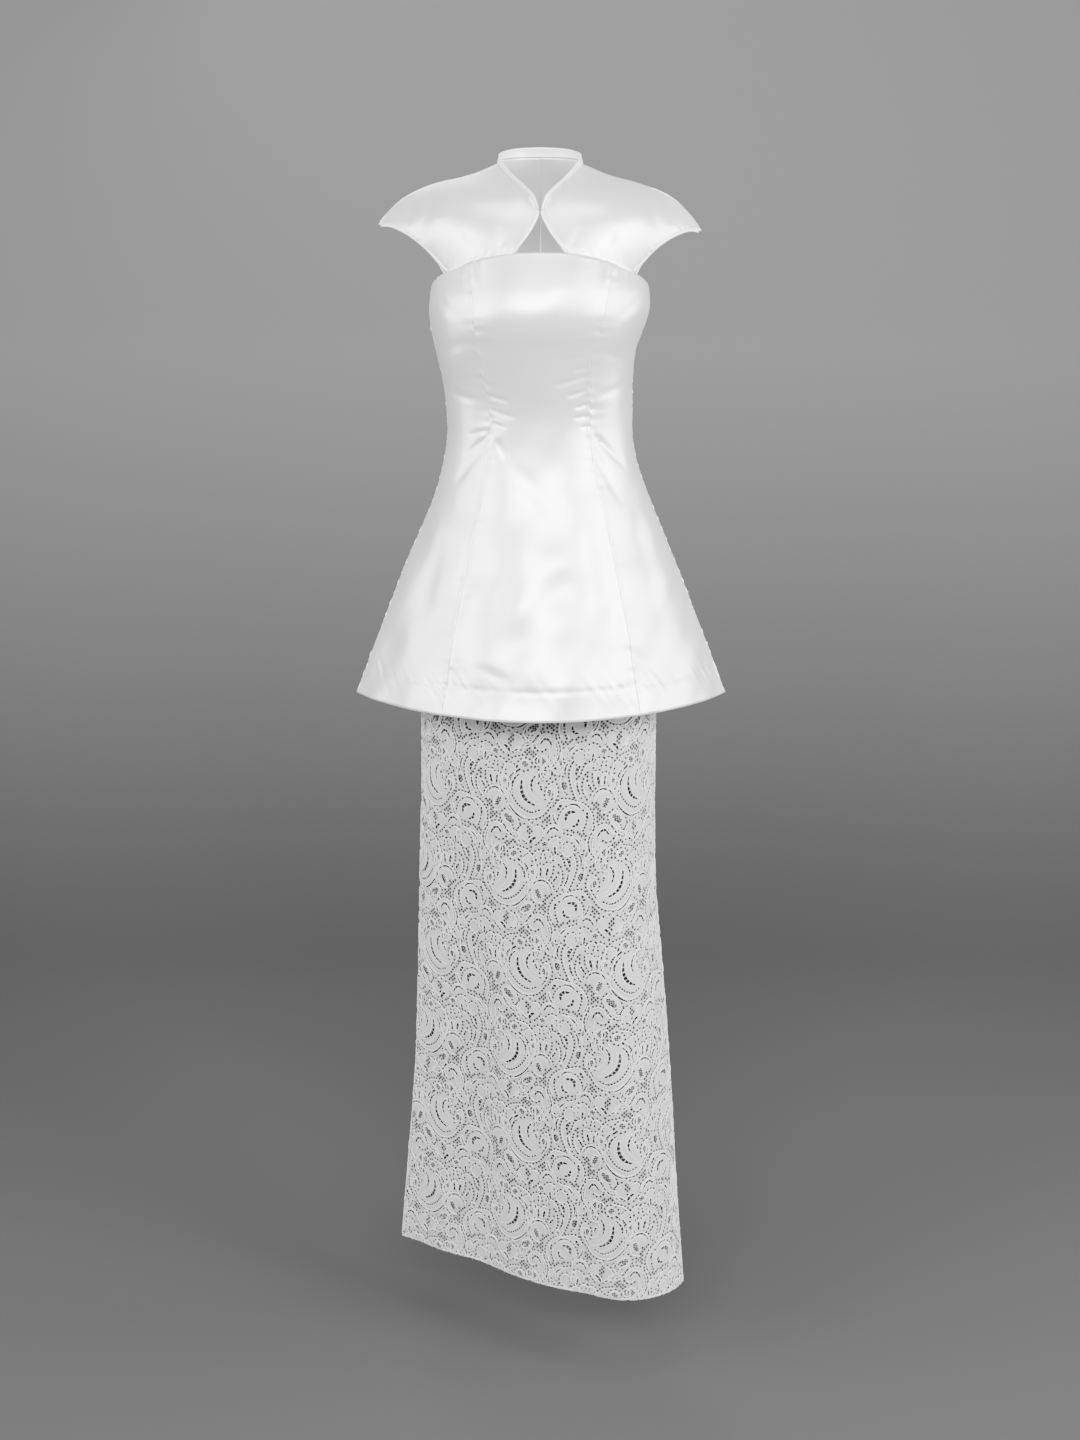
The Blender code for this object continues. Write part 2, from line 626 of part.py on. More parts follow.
def build_waistband():
    """A closed ring just inside the top's waist."""
    angle = np.arange(RING_COLUMNS) * 360.0 / RING_COLUMNS
    loops = []
    for z, depth in (
        (WAISTBAND_TOP_Z, 0.0),
        (WAISTBAND_BOTTOM_Z, 0.0),
        (WAISTBAND_BOTTOM_Z, WAISTBAND_CLOTH),
        (WAISTBAND_TOP_Z, WAISTBAND_CLOTH),
    ):
        inset = SATIN + WAIST_GAP + depth
        height = np.full(RING_COLUMNS, z)
        loop = top_point(height, angle) - tube_normal(top_point, height, angle) * inset
        loop[:, 2] = z
        loops.append(loop)
    faces = []
    for k in range(4):
        for j in range(RING_COLUMNS):
            nxt = (j + 1) % RING_COLUMNS
            a, b = k * RING_COLUMNS, ((k + 1) % 4) * RING_COLUMNS
            faces.append((a + j, a + nxt, b + nxt, b + j))
    make_object("skirt_waistband", np.concatenate(loops), faces, "satin_binding")


# Rows and columns that the skirt's two layers share, closer where the skirt bends more
SKIRT_ROWS = (
    -0.300, -0.330, -0.365, -0.400, -0.450, -0.520, -0.600,
    -0.690, -0.780, -0.870, -0.960, -1.050, -1.150,
)
QUARTER_ANGLES = (16, 31, 44, 56, 67, 78, 90)
HALF_ANGLES = np.array([-a for a in QUARTER_ANGLES[::-1]] + [0] + list(QUARTER_ANGLES), float)


def lining_point(z, angle):
    loose = smooth_step((WAISTBAND_BOTTOM_Z - z) / LINING_EASE)
    return skirt_point(z, angle, LACE + LAYER_GAP + LINING_LOOSE * loose, LINING_NARROW * loose)


# Each half of the lining is three solids, one above another
Stretch = namedtuple("Stretch", "name high low")
LINING_STRETCHES = (
    Stretch("upper", WAISTBAND_BOTTOM_Z - SEAM_GAP, -0.600 + SEAM_GAP / 2),
    Stretch("middle", -0.600 - SEAM_GAP / 2, -0.960 + SEAM_GAP / 2),
    Stretch("lower", -0.960 - SEAM_GAP / 2, LINING_HEM_Z),
)


def build_lining(name, middle, stretch):
    between = [z for z in SKIRT_ROWS if stretch.low + SEAM_GAP < z < stretch.high - SEAM_GAP]
    heights = np.array([stretch.high, *between, stretch.low])
    z, angle = np.meshgrid(heights, middle + HALF_ANGLES, indexing="ij")
    grid = lining_point(z, angle)
    outer, inner = opened_seams(grid, tube_normal(lining_point, z, angle), LINING)
    wall(f"{name}_{stretch.name}", outer, inner, "lining")


FINE_ROWS = 60
FINE_COLUMNS = 121


class FlatSkirt:
    """Half of the skirt as it lies flat: across is the length round the ring from its middle line."""

    def __init__(self, middle):
        self.middle = middle
        self.z = np.linspace(WAISTBAND_BOTTOM_Z, SKIRT_HEM_Z, FINE_ROWS)
        angle = np.linspace(middle - 90.0, middle + 90.0, FINE_COLUMNS)
        points = skirt_point(self.z[:, None] + 0 * angle[None], angle[None] + 0 * self.z[:, None])
        steps = np.linalg.norm(np.diff(points, axis=1), axis=2)
        place = np.concatenate([np.zeros((FINE_ROWS, 1)), np.cumsum(steps, axis=1)], axis=1)
        place -= place[:, FINE_COLUMNS // 2][:, None]
        self.place = place
        self.right = place[:, -1]
        self.left = place[:, 0]
        share = np.linspace(0, 1, FINE_COLUMNS)
        self.angle = np.stack(
            [np.interp(self.left[i] + share * (self.right[i] - self.left[i]), place[i], angle)
             for i in range(FINE_ROWS)]
        )

    def edges(self, z):
        return np.interp(-z, -self.z, self.left), np.interp(-z, -self.z, self.right)

    def columns(self, z):
        """The flat lengths at which the skirt's columns cross height z."""
        row = (self.z[0] - z) / (self.z[0] - self.z[-1]) * (FINE_ROWS - 1)
        i = int(np.clip(row, 0, FINE_ROWS - 2))
        place = self.place[i] + (self.place[i + 1] - self.place[i]) * (row - i)
        return np.interp(HALF_ANGLES, np.linspace(-90.0, 90.0, FINE_COLUMNS), place)

    def point(self, across, z):
        left, right = self.edges(z)
        column_at = np.clip((across - left) / (right - left), 0, 1) * (FINE_COLUMNS - 1)
        row_at = np.clip((self.z[0] - z) / (self.z[0] - self.z[-1]), 0, 1) * (FINE_ROWS - 1)
        i = np.minimum(row_at.astype(int), FINE_ROWS - 2)
        j = np.minimum(column_at.astype(int), FINE_COLUMNS - 2)
        a, b = row_at - i, column_at - j
        table = self.angle
        angle = (
            table[i, j] * (1 - a) * (1 - b)
            + table[i + 1, j] * a * (1 - b)
            + table[i, j + 1] * (1 - a) * b
            + table[i + 1, j + 1] * a * b
        )
        return skirt_point(z, angle), tube_normal(skirt_point, z, angle)


def slit_outline(slit):
    """A gap's corners about the middle of its scroll, long and narrow along its lean and bent aside."""
    shape = np.array(SLIT_SHAPE if slit.bend else WINDOW_SHAPE)
    along_it = shape[:, 0] * slit.long
    aside = shape[:, 1] * slit.wide + slit.bend * (1 - (2 * shape[:, 0]) ** 2)
    lean = math.radians(slit.lean)
    return np.stack(
        [
            slit.x + along_it * math.cos(lean) - aside * math.sin(lean),
            slit.z + along_it * math.sin(lean) + aside * math.cos(lean),
        ],
        axis=1,
    )


def lace_gaps(half):
    """Every gap of the repeat that lies whole inside one half of the skirt, in flat lengths."""
    low, high = SKIRT_HEM_Z + LACE_MARGIN, WAISTBAND_BOTTOM_Z - LACE_MARGIN
    rows = range(int(-SKIRT_HEM_Z / LACE_REPEAT_HEIGHT) + 2)
    mirrors = ((1, 0.0, 0.0), (-1, LACE_MIRROR_SHIFT, 0.5))
    gaps = []
    for j, i, slit, (mirror, shift, drop) in product(rows, range(-3, 4), LACE_SLITS, mirrors):
        gap = slit_outline(slit) * (mirror, 1)
        gap = gap + (i * LACE_REPEAT_WIDTH + shift, -(j + drop) * LACE_REPEAT_HEIGHT)
        left, right = half.edges(gap[:, 1])
        whole_up = gap[:, 1].min() > low and gap[:, 1].max() < high
        if whole_up and (gap[:, 0] > left + LACE_MARGIN).all() and (gap[:, 0] < right - LACE_MARGIN).all():
            gaps.append(gap)
    return gaps


def anticlockwise(outline):
    """The outline's corners in anticlockwise order."""
    x, z = np.asarray(outline).T
    area = (x * np.roll(z, -1) - np.roll(x, -1) * z).sum()
    return outline if area > 0 else outline[::-1]


def clear_of(gaps, place):
    """Whether a place lies outside every gap, at least LACE_SPARE from its edges."""
    for gap in gaps:
        if np.linalg.norm(gap.mean(axis=0) - place) > LACE_REACH:
            continue
        ends = np.roll(gap, -1, axis=0) - gap
        t = np.clip(((place - gap) * ends).sum(1) / (ends**2).sum(1), 0, 1)[:, None]
        near = np.linalg.norm(gap + t * ends - place, axis=1).min()
        rise = np.where(ends[:, 1] == 0, 1, ends[:, 1])
        crossing_x = gap[:, 0] + (place[1] - gap[:, 1]) * ends[:, 0] / rise
        level = (gap[:, 1] > place[1]) != (np.roll(gap[:, 1], -1) > place[1])
        inside = (level & (place[0] < crossing_x)).sum() % 2
        if near < LACE_SPARE or inside:
            return False
    return True


def build_lace(name, middle):
    """The lace is laid out flat, cut through at its gaps, and then wrapped round the skirt."""
    half = FlatSkirt(middle)
    heights = np.array([WAISTBAND_BOTTOM_Z - SEAM_GAP, *SKIRT_ROWS, LINING_HEM_Z, SKIRT_HEM_Z])
    lines = [half.columns(z) for z in heights]
    for line in lines:
        line[0] += SEAM_GAP / 2
        line[-1] -= SEAM_GAP / 2
    border = [(across, heights[0]) for across in lines[0]]
    border += [(line[-1], z) for line, z in zip(lines[1:], heights[1:])]
    border += [(across, heights[-1]) for across in lines[-1][-2::-1]]
    border += [(line[0], z) for line, z in zip(lines[-2:0:-1], heights[-2:0:-1])]
    gaps = [anticlockwise(gap) for gap in lace_gaps(half)]

    points = [Vector(p) for p in anticlockwise(border)]
    faces = [list(range(len(border)))]
    for gap in gaps:
        faces.append(list(range(len(points), len(points) + len(gap))))
        points += [Vector(p) for p in gap]
    grid = [(across, z) for line, z in zip(lines[1:-1], heights[1:-1]) for across in line[1:-1]]
    points += [Vector(place) for place in grid if clear_of(gaps, np.array(place))]

    flat, _, triangles, _, _, came_from = delaunay_2d_cdt(points, [], faces, 1, 1e-7)
    kept = [t for t, origin in zip(triangles, came_from) if list(origin) == [0]]
    flat = np.array([tuple(p) for p in flat])
    outer, normal = half.point(flat[:, 0], flat[:, 1])
    inner = outer - normal * LACE
    count = len(outer)
    edges = {}
    for a, b, c in kept:
        for e in ((a, b), (b, c), (c, a)):
            edges[e] = True
    faces = [tuple(t) for t in kept]
    faces += [(c + count, b + count, a + count) for a, b, c in kept]
    faces += [(b, a, a + count, b + count) for a, b in edges if (b, a) not in edges]
    print(name, "gaps cut through:", len(gaps))
    used = sorted({v for face in faces for v in face})
    renumber = {v: k for k, v in enumerate(used)}
    points = np.concatenate([outer, inner])[used]
    make_object(name, points, [tuple(renumber[v] for v in face) for face in faces], "lace")


def build_set():
    for old in list(bpy.data.objects):
        bpy.data.objects.remove(old, do_unlink=True)
    for name, first, last, columns in TOP_PANELS:
        top_panel(name, (first, last), columns)
    sides = []
    for side, name in ((1, "left"), (-1, "right")):
        grids = build_yoke(side, name)
        build_bindings(side, name, *grids)
        sides.append(grids)
    build_band(sides)
    build_waistband()
    for stretch in LINING_STRETCHES:
        build_lining("skirt_lining_front", 0.0, stretch)
        build_lining("skirt_lining_back", 180.0, stretch)
    build_lace("skirt_lace_front", 0.0)
    build_lace("skirt_lace_back", 180.0)


build_set()
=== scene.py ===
# %% [markdown]
# # A satin top over a long lace skirt
# The set is worn and hollow: a fitted top with a yoke, a keyhole and a flared hem, and a lined lace skirt.
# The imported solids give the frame. Here every solid gets the cloth that shows: satin panels with their
# puckers and drag lines, bound edges, a lining, and lace whose pattern is really cut through and corded.

# %% Load the frame
from collections import namedtuple
from math import radians

import bpy
import numpy as np
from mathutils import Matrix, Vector
from mathutils.geometry import delaunay_2d_cdt


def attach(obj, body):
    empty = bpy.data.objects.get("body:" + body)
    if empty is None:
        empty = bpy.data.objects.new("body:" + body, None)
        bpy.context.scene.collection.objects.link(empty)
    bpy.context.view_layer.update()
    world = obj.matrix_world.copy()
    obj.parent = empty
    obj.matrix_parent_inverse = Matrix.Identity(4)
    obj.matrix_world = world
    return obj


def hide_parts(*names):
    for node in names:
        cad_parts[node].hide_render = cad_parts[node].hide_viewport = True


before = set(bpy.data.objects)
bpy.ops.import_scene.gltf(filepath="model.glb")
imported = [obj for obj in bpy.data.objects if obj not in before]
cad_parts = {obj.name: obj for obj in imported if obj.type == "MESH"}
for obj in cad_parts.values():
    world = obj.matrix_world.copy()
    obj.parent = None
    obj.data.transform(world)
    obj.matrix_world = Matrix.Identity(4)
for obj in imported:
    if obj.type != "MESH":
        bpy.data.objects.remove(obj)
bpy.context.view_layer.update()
print("nodes:", len(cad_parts))

# %% [markdown]
# The camera stands at the height of the shoulders, 2.5 m in front, and looks down by about 14 degrees,
# so the sides of the set keep their true taper and the whole of it fits an upright picture.

# %% Camera
CAMERA_AWAY = 2.5
CAMERA_PITCH = 13.9
CAMERA_LENS = 52.25

camera_data = bpy.data.cameras.new("camera")
camera_data.lens = CAMERA_LENS
camera_data.sensor_width = 36.0
camera = bpy.data.objects.new("camera", camera_data)
camera.location = (0.0, -CAMERA_AWAY, 0.0)
camera.rotation_euler = (radians(90.0 - CAMERA_PITCH), 0.0, 0.0)
bpy.context.scene.collection.objects.link(camera)
bpy.context.scene.camera = camera

# %% [markdown]
# A maker drafts a garment from a few measures: girths at the bust, waist and hem, and the run of each
# seam. The same measures as in the solids are repeated here, so that the fine surfaces lie on them.
# The cloth that shows is a little thinner than its solid: THIN is its share of the thickness.

# %% The measures of the top
SATIN = 0.0015
THIN = 0.8
THIN_BAND = 0.9
SIDES = ((1, "left"), (-1, "right"))
WAIST_GAP = 0.0008
SEAM_GAP = 0.0003
TOP_HEM_Z = -0.5785

Section = namedtuple("Section", "z half shift mid front back power")
TOP = (
    Section(-0.040, 0.1120, 0.0000, 0.000, 0.0930, 0.0790, 0.90),
    Section(-0.060, 0.1185, 0.0000, 0.000, 0.0990, 0.0810, 0.88),
    Section(-0.080, 0.1235, 0.0000, 0.000, 0.1070, 0.0820, 0.86),
    Section(-0.100, 0.1275, 0.0000, 0.000, 0.1140, 0.0820, 0.84),
    Section(-0.120, 0.1290, -0.0008, 0.000, 0.1170, 0.0805, 0.84),
    Section(-0.140, 0.1255, -0.0028, 0.000, 0.1145, 0.0780, 0.86),
    Section(-0.165, 0.1185, -0.0050, 0.000, 0.1060, 0.0745, 0.88),
    Section(-0.200, 0.1125, -0.0030, 0.000, 0.0950, 0.0690, 0.92),
    Section(-0.240, 0.1097, -0.0005, 0.000, 0.0880, 0.0655, 0.95),
    Section(-0.270, 0.1100, 0.0000, 0.000, 0.0885, 0.0680, 0.96),
    Section(-0.300, 0.1150, 0.0002, -0.001, 0.0925, 0.0745, 1.00),
    Section(-0.340, 0.1280, 0.0020, -0.003, 0.1010, 0.0870, 1.08),
    Section(-0.380, 0.1445, 0.0015, -0.006, 0.1110, 0.0990, 1.20),
    Section(-0.430, 0.1660, 0.0012, -0.010, 0.1235, 0.1120, 1.36),
    Section(-0.500, 0.1935, 0.0012, -0.015, 0.1400, 0.1290, 1.55),
    Section(-0.580, 0.2245, 0.0010, -0.020, 0.1570, 0.1460, 1.70),
)

EdgeRow = namedtuple("EdgeRow", "angle z")
TOP_EDGE = (
    EdgeRow(0, -0.0540),
    EdgeRow(15, -0.0552),
    EdgeRow(28, -0.0585),
    EdgeRow(38, -0.0628),
    EdgeRow(52, -0.0722),
    EdgeRow(65, -0.0795),
    EdgeRow(78, -0.0890),
    EdgeRow(90, -0.0945),
    EdgeRow(110, -0.0920),
    EdgeRow(135, -0.0830),
    EdgeRow(160, -0.0760),
    EdgeRow(180, -0.0740),
)

SeamRow = namedtuple("SeamRow", "z front back")
PRINCESS = (
    SeamRow(-0.050, 46.0, 143.0),
    SeamRow(-0.070, 43.0, 144.0),
    SeamRow(-0.107, 36.5, 146.0),
    SeamRow(-0.150, 34.0, 147.0),
    SeamRow(-0.224, 32.0, 148.0),
    SeamRow(-0.330, 33.5, 147.0),
    SeamRow(-0.473, 32.5, 147.0),
    SeamRow(-0.580, 31.0, 148.0),
)

# %% The measures of the skirt
LACE = 0.0012
LAYER_GAP = 0.0005
LINING_LOOSE = 0.0036
LINING_NARROW = 0.0070
LINING_EASE = 0.08
WAISTBAND_TOP_Z = -0.2450
WAISTBAND_BOTTOM_Z = -0.2700
SKIRT_HEM_Z = -1.3300
LINING_HEM_Z = -1.2450

SkirtSection = namedtuple("SkirtSection", "z half shift mid front back power turn skew")
SKIRT = (
    SkirtSection(-0.270, 0.1060, 0.0000, 0.000, 0.0845, 0.0640, 0.96, 0.0, 0.00),
    SkirtSection(-0.310, 0.1125, 0.0000, -0.002, 0.0880, 0.0720, 0.96, 0.0, 0.00),
    SkirtSection(-0.360, 0.1265, 0.0000, -0.004, 0.0950, 0.0860, 0.96, 0.5, 0.00),
    SkirtSection(-0.420, 0.1395, 0.0000, -0.007, 0.0980, 0.0960, 0.98, 1.5, 0.00),
    SkirtSection(-0.500, 0.1430, -0.0010, -0.010, 0.0980, 0.0970, 1.00, 2.5, 0.00),
    SkirtSection(-0.614, 0.1430, -0.0020, -0.014, 0.0940, 0.0930, 1.00, 4.5, 0.05),
    SkirtSection(-0.680, 0.1436, -0.0026, -0.016, 0.0910, 0.0900, 1.00, 6.0, 0.12),
    SkirtSection(-0.800, 0.1475, -0.0040, -0.020, 0.0840, 0.0830, 1.00, 9.5, 0.30),
    SkirtSection(-0.940, 0.1575, -0.0005, -0.025, 0.0770, 0.0760, 1.00, 12.5, 0.50),
    SkirtSection(-1.070, 0.1675, 0.0018, -0.028, 0.0700, 0.0700, 1.00, 15.0, 0.68),
    SkirtSection(-1.200, 0.1785, 0.0004, -0.030, 0.0640, 0.0640, 1.00, 16.2, 0.80),
    SkirtSection(-1.330, 0.1920, -0.0005, -0.031, 0.0600, 0.0600, 1.00, 18.2, 0.88),
)

Fold = namedtuple("Fold", "angle width rise top")
SKIRT_FOLDS = (
    Fold(26, 12, -0.0040, -0.70),
    Fold(50, 14, 0.0025, -0.66),
    Fold(-20, 12, -0.0040, -0.78),
    Fold(-42, 14, 0.0025, -0.85),
    Fold(140, 13, 0.0030, -0.72),
    Fold(162, 12, -0.0035, -0.76),
    Fold(-150, 14, -0.0040, -0.70),
    Fold(-128, 12, 0.0025, -0.80),
)
FOLD_FADE = 0.45

# %% [markdown]
# Each tube of cloth is a function of two parameters, a height and an angle round it. A ring is an oval
# whose front and back depths differ, and smooth curves through the table's rows give its measures.

# %% Curves through the tables, and the two tubes


def curve(knots, values, at):
    """A smooth (Hermite) curve through knots and values; each slope is that of the neighbouring rows."""
    knots = np.asarray(knots, float)
    values = np.asarray(values, float)
    if knots[0] > knots[-1]:
        knots, values = knots[::-1], values[::-1]
    slopes = np.gradient(values, knots)
    at = np.clip(at, knots[0], knots[-1])
    left = np.clip(np.searchsorted(knots, at, side="right") - 1, 0, len(knots) - 2)
    width = knots[left + 1] - knots[left]
    t = (at - knots[left]) / width
    return (
        values[left] * (2 * t**3 - 3 * t**2 + 1)
        + slopes[left] * width * (t**3 - 2 * t**2 + t)
        + values[left + 1] * (3 * t**2 - 2 * t**3)
        + slopes[left + 1] * width * (t**3 - t**2)
    )


def column(table, name):
    return [getattr(row, name) for row in table]


def table_at(table, name, z):
    return curve(column(table, "z"), column(table, name), z)


def smooth_step(t):
    """0 below 0, 1 above 1, and 3t^2 - 2t^3 between."""
    t = np.clip(t, 0, 1)
    return t * t * (3 - 2 * t)


def bell(away, width):
    """1 at 0, falling off to 1 / e at the width."""
    return np.exp(-((away / width) ** 2))


def unit(v):
    return v / np.maximum(np.linalg.norm(v, axis=-1, keepdims=True), 1e-12)


def length_along(line):
    """The length from a line's first point to each of its points."""
    steps = np.linalg.norm(np.diff(line, axis=0), axis=1)
    return np.concatenate([[0], np.cumsum(steps)])


def ring_point(table, z, angle, inset=0.0, narrow=0.0):
    """x is half * sin(angle); y is front or back depth * |cos(angle)|^power, less the inset."""
    turn = np.radians(angle)
    flat = np.cos(turn)
    depth = np.where(flat >= 0, table_at(table, "front", z), table_at(table, "back", z)) - inset
    x = (table_at(table, "half", z) - inset - narrow) * np.sin(turn)
    return x, -depth * np.sign(flat) * np.abs(flat) ** table_at(table, "power", z)


def top_point(z, angle):
    x, y = ring_point(TOP, z, angle)
    return np.stack([x + table_at(TOP, "shift", z), y + table_at(TOP, "mid", z), z + 0 * x], axis=-1)


def skirt_point(z, angle, inset=0.0, narrow=0.0):
    """The ring, bulged by its skew, with each fold added as a bell curve, then turned about the upright."""
    x, y = ring_point(SKIRT, z, angle, inset, narrow)
    facing = np.sign(y)
    y = y * (1 - facing * table_at(SKIRT, "skew", z) * np.sin(np.radians(angle)))
    for fold in SKIRT_FOLDS:
        off = (angle - fold.angle + 180) % 360 - 180
        grown = smooth_step((fold.top - z) / FOLD_FADE)
        y = y + facing * fold.rise * bell(off, fold.width) * grown
    turn = np.radians(table_at(SKIRT, "turn", z))
    across = x * np.cos(turn) + y * np.sin(turn) + table_at(SKIRT, "shift", z)
    depth = y * np.cos(turn) - x * np.sin(turn) + table_at(SKIRT, "mid", z)
    return np.stack([across, depth, z + 0 * x], axis=-1)


def lining_point(z, angle):
    """The skirt's ring, smaller all round and smaller still at the side seams."""
    loose = smooth_step((WAISTBAND_BOTTOM_Z - z) / LINING_EASE)
    return skirt_point(z, angle, LACE + LAYER_GAP + LINING_LOOSE * loose, LINING_NARROW * loose)


def tube_normal(point, z, angle):
    """The outward normal, from the surface's own steps of 3 degrees round it and 4 mm down it."""
    round_it = point(z, angle + 3.0) - point(z, angle - 3.0)
    down_it = point(z - 0.004, angle) - point(z + 0.004, angle)
    return unit(np.cross(down_it, round_it))


# %% [markdown]
# A crease is placed on cloth by the distances a maker would measure: so far round from the centre
# front, and so far down. `FlatTube` gives that flat length for any point of a tube, and turns it back.

# %% Flat lengths


class FlatTube:
    """Length round each ring from its middle line, tabled on a net of heights and angles."""

    def __init__(self, point, heights, middle=0.0, reach=180.0, rows=70, columns=181):
        self.point_at = point
        self.z = np.linspace(heights[0], heights[1], rows)
        self.angle = np.linspace(middle - reach, middle + reach, columns)
        net = point(self.z[:, None] + 0 * self.angle, self.angle + 0 * self.z[:, None])
        steps = np.linalg.norm(np.diff(net, axis=1), axis=2)
        place = np.concatenate([np.zeros((rows, 1)), np.cumsum(steps, axis=1)], axis=1)
        self.place = place - place[:, columns // 2][:, None]
        self.left, self.right = self.place[:, 0], self.place[:, -1]
        share = np.linspace(0, 1, columns)
        width = (self.right - self.left)[:, None]
        self.back = np.array(
            [np.interp(a + share * w, p, self.angle) for a, w, p in zip(self.left, width, self.place)]
        )

    def read(self, table, row, col):
        """A table read between its rows and columns, in proportion."""
        row = np.clip(row, 0, table.shape[0] - 1.001)
        col = np.clip(col, 0, table.shape[1] - 1.001)
        i, j = row.astype(int), col.astype(int)
        a, b = row - i, col - j
        upper = table[i, j] * (1 - b) + table[i, j + 1] * b
        lower = table[i + 1, j] * (1 - b) + table[i + 1, j + 1] * b
        return upper * (1 - a) + lower * a

    def row(self, z):
        return (self.z[0] - z) / (self.z[0] - self.z[-1]) * (len(self.z) - 1)

    def length(self, z, angle):
        step = self.angle[1] - self.angle[0]
        return self.read(self.place, self.row(z), (angle - self.angle[0]) / step)

    def edges(self, z):
        return np.interp(-z, -self.z, self.left), np.interp(-z, -self.z, self.right)

    def lift(self, across, z):
        """The point in space, and its normal, of a place on the flat cloth."""
        left, right = self.edges(z)
        col = (across - left) / (right - left) * (len(self.angle) - 1)
        angle = self.read(self.back, self.row(z), col)
        return self.point_at(z, angle), tube_normal(self.point_at, z, angle)


flat_top = FlatTube(top_point, (-0.04, TOP_HEM_Z))
print("girth at the bust", round(float(np.ptp(flat_top.place[12])), 3), "m")

# %% [markdown]
# One helper makes every cloth mesh: a grid of points becomes quads, the flat lengths become its UV map
# in metres, and a Solidify modifier gives the cloth its thickness inwards.

# %% Mesh helpers


def add_mesh(name, points, faces, uv, finish):
    """A mesh object from arrays. faces is (n, 3) or (n, 4); uv has one row for each point."""
    mesh = bpy.data.meshes.new(name)
    count, sides = faces.shape
    mesh.vertices.add(len(points))
    mesh.vertices.foreach_set("co", np.ascontiguousarray(points, np.float32).ravel())
    mesh.loops.add(count * sides)
    mesh.loops.foreach_set("vertex_index", np.ascontiguousarray(faces, np.int32).ravel())
    mesh.polygons.add(count)
    mesh.polygons.foreach_set("loop_start", np.arange(0, count * sides, sides, dtype=np.int32))
    mesh.update(calc_edges=True)
    mesh.validate()
    layer = mesh.uv_layers.new(name="flat")
    layer.data.foreach_set("uv", np.ascontiguousarray(uv[faces.ravel()], np.float32).ravel())
    mesh.shade_smooth()
    mesh.materials.append(finish)
    piece = bpy.data.objects.new(name, mesh)
    bpy.context.scene.collection.objects.link(piece)
    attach(piece, "root")
    return piece


def grid_faces(rows, cols, wrap=False):
    """Quads of a grid of points, row by row; with wrap the last column joins the first."""
    index = np.arange(rows * cols).reshape(rows, cols)
    right = np.roll(index, -1, axis=1) if wrap else index[:, 1:]
    here = index if wrap else index[:, :-1]
    quads = np.stack([here[:-1], here[1:], right[1:], right[:-1]], axis=-1)
    return quads.reshape(-1, 4)


def outward(points, faces, normals):
    """The faces turned round if they mostly point against the given normals."""
    a, b, c = (points[faces[:, k]] for k in range(3))
    facing = (np.cross(b - a, c - a) * normals[faces[:, 0]]).sum()
    return faces if facing > 0 else faces[:, ::-1]


def cloth(name, grid, normal, flat, thickness, finish):
    """A grid of cloth with its UV map in metres and its thickness inwards."""
    rows, cols = grid.shape[:2]
    points, normals = grid.reshape(-1, 3), normal.reshape(-1, 3)
    faces = outward(points, grid_faces(rows, cols), normals)
    piece = add_mesh(name, points, faces, flat.reshape(-1, 2), finish)
    wall = piece.modifiers.new("thickness", "SOLIDIFY")
    wall.thickness = thickness
    wall.offset = -1.0
    return piece


def size_of(grid):
    """Greatest width, greatest length and area of a grid of points."""
    width = np.linalg.norm(np.diff(grid, axis=1), axis=2).sum(axis=1).max()
    length = np.linalg.norm(np.diff(grid, axis=0), axis=2).sum(axis=0).max()
    side_a, side_b = grid[1:, :-1] - grid[:-1, :-1], grid[:-1, 1:] - grid[:-1, :-1]
    area = np.linalg.norm(np.cross(side_a, side_b), axis=2).sum()
    return float(width), float(length), float(area)


def cut_sheet(piece, grid):
    """Prints the size of a piece of cloth's smooth form, before creases and puckers."""
    width, length, area = size_of(grid)
    area = min(area, width * length)
    print(f"{piece.name}: {width * 100:.1f} x {length * 100:.1f} cm, {area * 1e4:.0f} cm2")


# %% [markdown]
# Stitches are short dashes of thread. Each is a stretched octahedron: two ends and a ring of four
# points round its middle, laid along a line on the cloth. They hold the hem of the top, and the
# bindings down on the yokes. Their grey colour is painted shade: white stitches sunk into the cloth.

# %% A row of stitches
STITCH_LONG = 0.0026
STITCH_PITCH = 0.0032
STITCH_WIDE = 0.00028
STITCH_INSET = 0.0024
STITCH_LIFT = 0.0001
OCTAHEDRON = np.array(
    [(0, 2, 3), (0, 3, 4), (0, 4, 5), (0, 5, 2), (1, 3, 2), (1, 4, 3), (1, 5, 4), (1, 2, 5)]
)


def stitch_row(name, line, up, finish):
    """Stitches at even steps along a line of points; up is the cloth's normal at each of them."""
    place = length_along(line)
    wanted = np.arange(STITCH_PITCH / 2, place[-1], STITCH_PITCH)
    middle = np.stack([np.interp(wanted, place, line[:, k]) for k in range(3)], axis=1)
    up = unit(np.stack([np.interp(wanted, place, up[:, k]) for k in range(3)], axis=1))
    run = unit(np.gradient(middle, axis=0))
    across = unit(np.cross(up, run))
    reach, side, rise = run * STITCH_LONG / 2, across * STITCH_WIDE, up * STITCH_WIDE
    corners = [middle + reach, middle - reach, middle + side, middle + rise, middle - side, middle - rise]
    points = np.stack(corners, axis=1).reshape(-1, 3)
    faces = (OCTAHEDRON[None] + 6 * np.arange(len(middle))[:, None, None]).reshape(-1, 3)
    faces = outward(points, faces, points - np.repeat(middle, 6, axis=0))
    flat = np.repeat(np.stack([wanted, 0 * wanted], axis=1), 6, axis=0)
    piece = add_mesh(name, points, faces, flat, finish)
    print(name, "stitches:", len(middle))
    return piece


# %% [markdown]
# Satin is a smooth weave with a soft gloss, so its look comes from light on its form. Two small effects
# are shared by all the cloths, so they are node groups: a fine weave that follows the cloth's own UV
# map, and a slight unevenness of tone.

# %% Node groups


